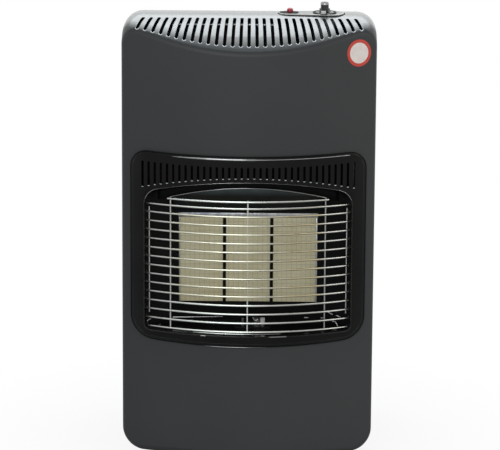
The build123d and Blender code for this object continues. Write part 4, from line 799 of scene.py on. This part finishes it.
def make_floor_hem_highlight():
    """Bright hem along the front edge of the hearth's floor, a painted highlight below the lowest
    guard wire.
    """
    hem = [on_bow(x, 0.2287 + 0.14 * x ** 2, BOW_R - 0.0050)
           for x in spread_over(-0.090, 0.055, 30)]
    # painted highlight: the hem is brightest and thickest left of the middle
    rolled_wire("floor_hem_highlight", [hem], 0.0014, "bright_wire",
                girth=lambda x: 0.30 + 0.70 * hump(x, -0.038, 0.042, 4))


def make_pilot_clip_glint():
    """Hooked clip round the front of the pilot's cup, bright as a painted highlight."""
    cup = box_middle("pilot_burner")
    reach = 0.0068                  # radius of its bend about the cup
    hook = [(x, cup.y - math.sqrt(max(0, reach ** 2 - (x - cup.x) ** 2)), z)
            for x, z in ((0.0085, 0.2475), (0.0098, 0.2455), (0.0112, 0.2437), (0.0130, 0.2428),
                         (0.0148, 0.2428), (0.0162, 0.2440), (0.0166, 0.2458))]
    # painted highlight: a bright arc on the cup's front
    rolled_wire("pilot_clip_glint", [hook], 0.0008, "bright_clip",
                girth=lambda x: 0.45 + 0.55 * hump(x, 0.0146, 0.0020))


def make_spark_sleeve():
    """Thin ceramic sleeve round the electrode's tip."""
    middle = box_middle("ignition_electrode")
    tip = 0.0080                    # cone and wire above the electrode's shoulder
    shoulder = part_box("ignition_electrode")[1].z - tip
    turned_ring("spark_sleeve", radii=(0.0032, 0.0041), heights=(0.0001, 0.0106),
                finish="clean_ceramic",
                place=Matrix.Translation((middle.x, middle.y, shoulder)))


# ---------------------------------------------------------------- controls
def on_crest(x, y, z):
    """Frame at this point of the crest, leaning with it."""
    return Matrix.Translation((x, y, z)) @ Matrix.Rotation(CREST_LEAN, 4, "X")


def make_plate_rim_highlight():
    """Light moulded rim along the front of the control plate, its pale colour a painted highlight
    of the rounded edge.
    """
    inset = 0.0009
    small_x, small_r = KNOB_X - 0.061, 0.0145 - inset
    large_x, large_r = KNOB_X + 0.012, 0.0200 - inset
    lean = math.asin((large_r - small_r) / (large_x - small_x))
    front = 1.5 * math.pi - lean
    place = on_crest(0, CONTROL_Y, CONTROL_Z + 0.0001)
    run = [place @ Vector((x + radius * math.cos(turn), radius * math.sin(turn), 0))
           for x, radius, start, end, steps in ((small_x, small_r, math.pi, front, 10),
                                                (large_x, large_r, front, 2 * math.pi, 12))
           for turn in spread_over(start, end, steps)]
    # painted highlight along the plate's rounded front edge
    rolled_wire("plate_rim_highlight", [run], 0.0007, "dial_print")


def make_dial():
    """Face of the knob's disc, with its printed marks and its ring."""
    place = on_crest(KNOB_X, CONTROL_Y, CONTROL_Z)
    outer = 0.0148
    marks = []
    for index in range(9):
        length = 0.0030 if index % 4 else 0.0042
        marks.append(((outer - length, -0.0005, 0.0014), (outer, 0.0005, 0.0017),
                      math.radians(-150 + index * 26)))
    bars("dial_marks", marks, "dial_print", edge=0.0001, place=place)
    turned_ring("dial_face", radii=(0.0098, 0.0150), heights=(0.0012, 0.0016),
                finish="dial_face", place=place)
    turned_ring("dial_ring", radii=(0.0168, 0.0196), heights=(0.0005, 0.0014),
                finish="black_plastic", place=place)


def make_button_ring():
    """Oval ring round the igniter's bezel."""
    depth = 0.62                    # as a share of its width
    well = (on_crest(box_middle("igniter_bezel").x, CONTROL_Y - 0.0015, CONTROL_Z + 0.0001)
            @ Matrix.Diagonal((1.0, depth, 1.0, 1.0)))
    turned_ring("button_ring", radii=(0.0100, 0.0158), heights=(0.0005, 0.0014),
                finish="black_plastic", place=well)


def make_tab_and_pointer():
    """Raised tab on the knob's disc, and the pointer line that turns with the knob."""
    place = on_crest(KNOB_X, CONTROL_Y, CONTROL_Z)
    tab = [((-0.0060, -0.0178, 0.0012), (0.0016, -0.0166, 0.0066), 0)]
    bars("dial_tab", tab, "dial_print", edge=0.0004, place=place)
    pointer = [((-0.0008, -0.0140, 0.0161), (0.0008, -0.0050, 0.0165), 0)]
    bars("knob_pointer", pointer, "dial_print", edge=0.00015, body="knob", place=place)


make_beads()
make_mouth_rubs()
make_surround_shadow_line()
make_mouth_webs()
make_air_slot_lips()
make_vent_lips()
make_burner_trim()
make_shelf_edge()
make_hood_apron_shade()
make_hearth_glints()
make_floor_hem_highlight()
make_pilot_clip_glint()
make_spark_sleeve()
make_plate_rim_highlight()
make_dial()
make_button_ring()
make_tab_and_pointer()


# ---------------------------------------------------------------- stage
def white_background(nodes, links, shaded, camera_share, mirror_share):
    """Mix pure white over shaded for camera rays and for mirror and glass rays.

    Each share is a number or a socket: how much of the white such a ray sees.
    """
    def combine(kind, *values):
        return math_node(nodes, links, kind, values)

    path = nodes.new("ShaderNodeLightPath")
    mirror = combine("MAXIMUM", path.outputs["Is Glossy Ray"],
                     path.outputs["Is Transmission Ray"])
    share = combine("MAXIMUM", combine("MULTIPLY", path.outputs["Is Camera Ray"], camera_share),
                    combine("MULTIPLY", mirror, mirror_share))
    white = nodes.new("ShaderNodeEmission")
    white.inputs["Color"].default_value = (1, 1, 1, 1)
    mix = nodes.new("ShaderNodeMixShader")
    for socket, source in zip(mix.inputs, (share, shaded, white.outputs["Emission"])):
        links.new(source, socket)
    return mix.outputs["Shader"]


def make_floor():
    """Pale floor: shaded near the heater, plain white further off."""
    pale = Finish("floor", colour=(0.50, 0.50, 0.50), rough=0.9, specular=0.1)
    tint = pale.mix(pale.noise(1.5, detail=2.0), (0.49, 0.49, 0.49), (0.51, 0.51, 0.51))
    pale.set("Base Color", tint)
    distance = pale.nodes.new("ShaderNodeVectorMath")
    distance.operation = "LENGTH"
    pale.links.new(pale.place, distance.inputs[0])
    seen = pale.band(distance.outputs["Value"], 0.22, 0.6, 0.9, 1.0)
    mirrored = pale.band(distance.outputs["Value"], 1.5, 4.0)
    surface = white_background(pale.nodes, pale.links, pale.shader.outputs["BSDF"], seen, mirrored)
    pale.links.new(surface, pale.nodes["Material Output"].inputs["Surface"])
    bm = bmesh.new()
    bmesh.ops.create_grid(bm, x_segments=1, y_segments=1, size=9.0)
    floor = bpy.data.objects.new("floor", mesh_of(bm, "floor"))
    bpy.context.collection.objects.link(floor)
    floor.data.materials.append(pale.mat)


def make_room():
    """Dim grey room that lights the heater, behind a plain white that the camera sees."""
    world = bpy.data.worlds.new("studio")
    bpy.context.scene.world = world
    world.use_nodes = True
    nodes, links = world.node_tree.nodes, world.node_tree.links
    room = nodes["Background"]
    room.inputs["Color"].default_value = (0.5, 0.52, 0.54, 1)
    room.inputs["Strength"].default_value = 0.5
    surface = white_background(nodes, links, room.outputs["Background"], 1.0, 1.0)
    links.new(surface, nodes["World Output"].inputs["Surface"])


def lamp(name, place, aim, size, power, colour):
    data = bpy.data.lights.new(name, "AREA")
    data.shape = "RECTANGLE"
    data.size, data.size_y = size
    data.energy = power
    data.color = colour
    obj = bpy.data.objects.new(name, data)
    obj.location = place
    obj.rotation_euler = (Vector(aim) - Vector(place)).to_track_quat("-Z", "Y").to_euler()
    bpy.context.collection.objects.link(obj)


def make_lamps():
    """Wide boxes overhead and behind, which the crest mirrors, and soft boxes to both sides."""
    sky = (0.90, 0.97, 1.0)
    heater = (0, 0, 0.4)
    lamp("top_box", (0.0, 0.20, 2.4), aim=(0, 0.20, 0.0), size=(1.9, 1.4), power=36,
         colour=sky)
    lamp("rear_box", (0.0, 1.95, 2.4), aim=(0, 1.95, 0.0), size=(4.4, 2.1), power=64,
         colour=sky)
    lamp("left_box", (-0.9, -5.2, 2.4), aim=heater, size=(1.8, 3.2), power=95,
         colour=(0.95, 0.98, 1.0))
    lamp("right_box", (2.8, -2.3, 1.5), aim=heater, size=(1.2, 1.6), power=23,
         colour=(1.0, 0.94, 0.88))


def make_camera():
    """Camera fitted to the heater's outline, slots, mouth and guard in the photo."""
    place = (0.042, -4.5733, 1.390)
    turn, down, roll = (math.radians(angle) for angle in (0.5, 12.5, 0.36))
    data = bpy.data.cameras.new("camera")
    data.sensor_width = 36.0
    data.lens = 196.96
    data.clip_start = 0.1
    data.clip_end = 100.0
    camera = bpy.data.objects.new("camera", data)
    camera.matrix_world = (Matrix.Translation(place) @ Matrix.Rotation(turn, 4, "Z")
                           @ Matrix.Rotation(math.pi / 2 - down, 4, "X")
                           @ Matrix.Rotation(roll, 4, "Z"))
    bpy.context.collection.objects.link(camera)
    bpy.context.scene.camera = camera


make_floor()
make_lamps()
make_room()
make_camera()
bpy.context.scene.view_settings.view_transform = "Standard"
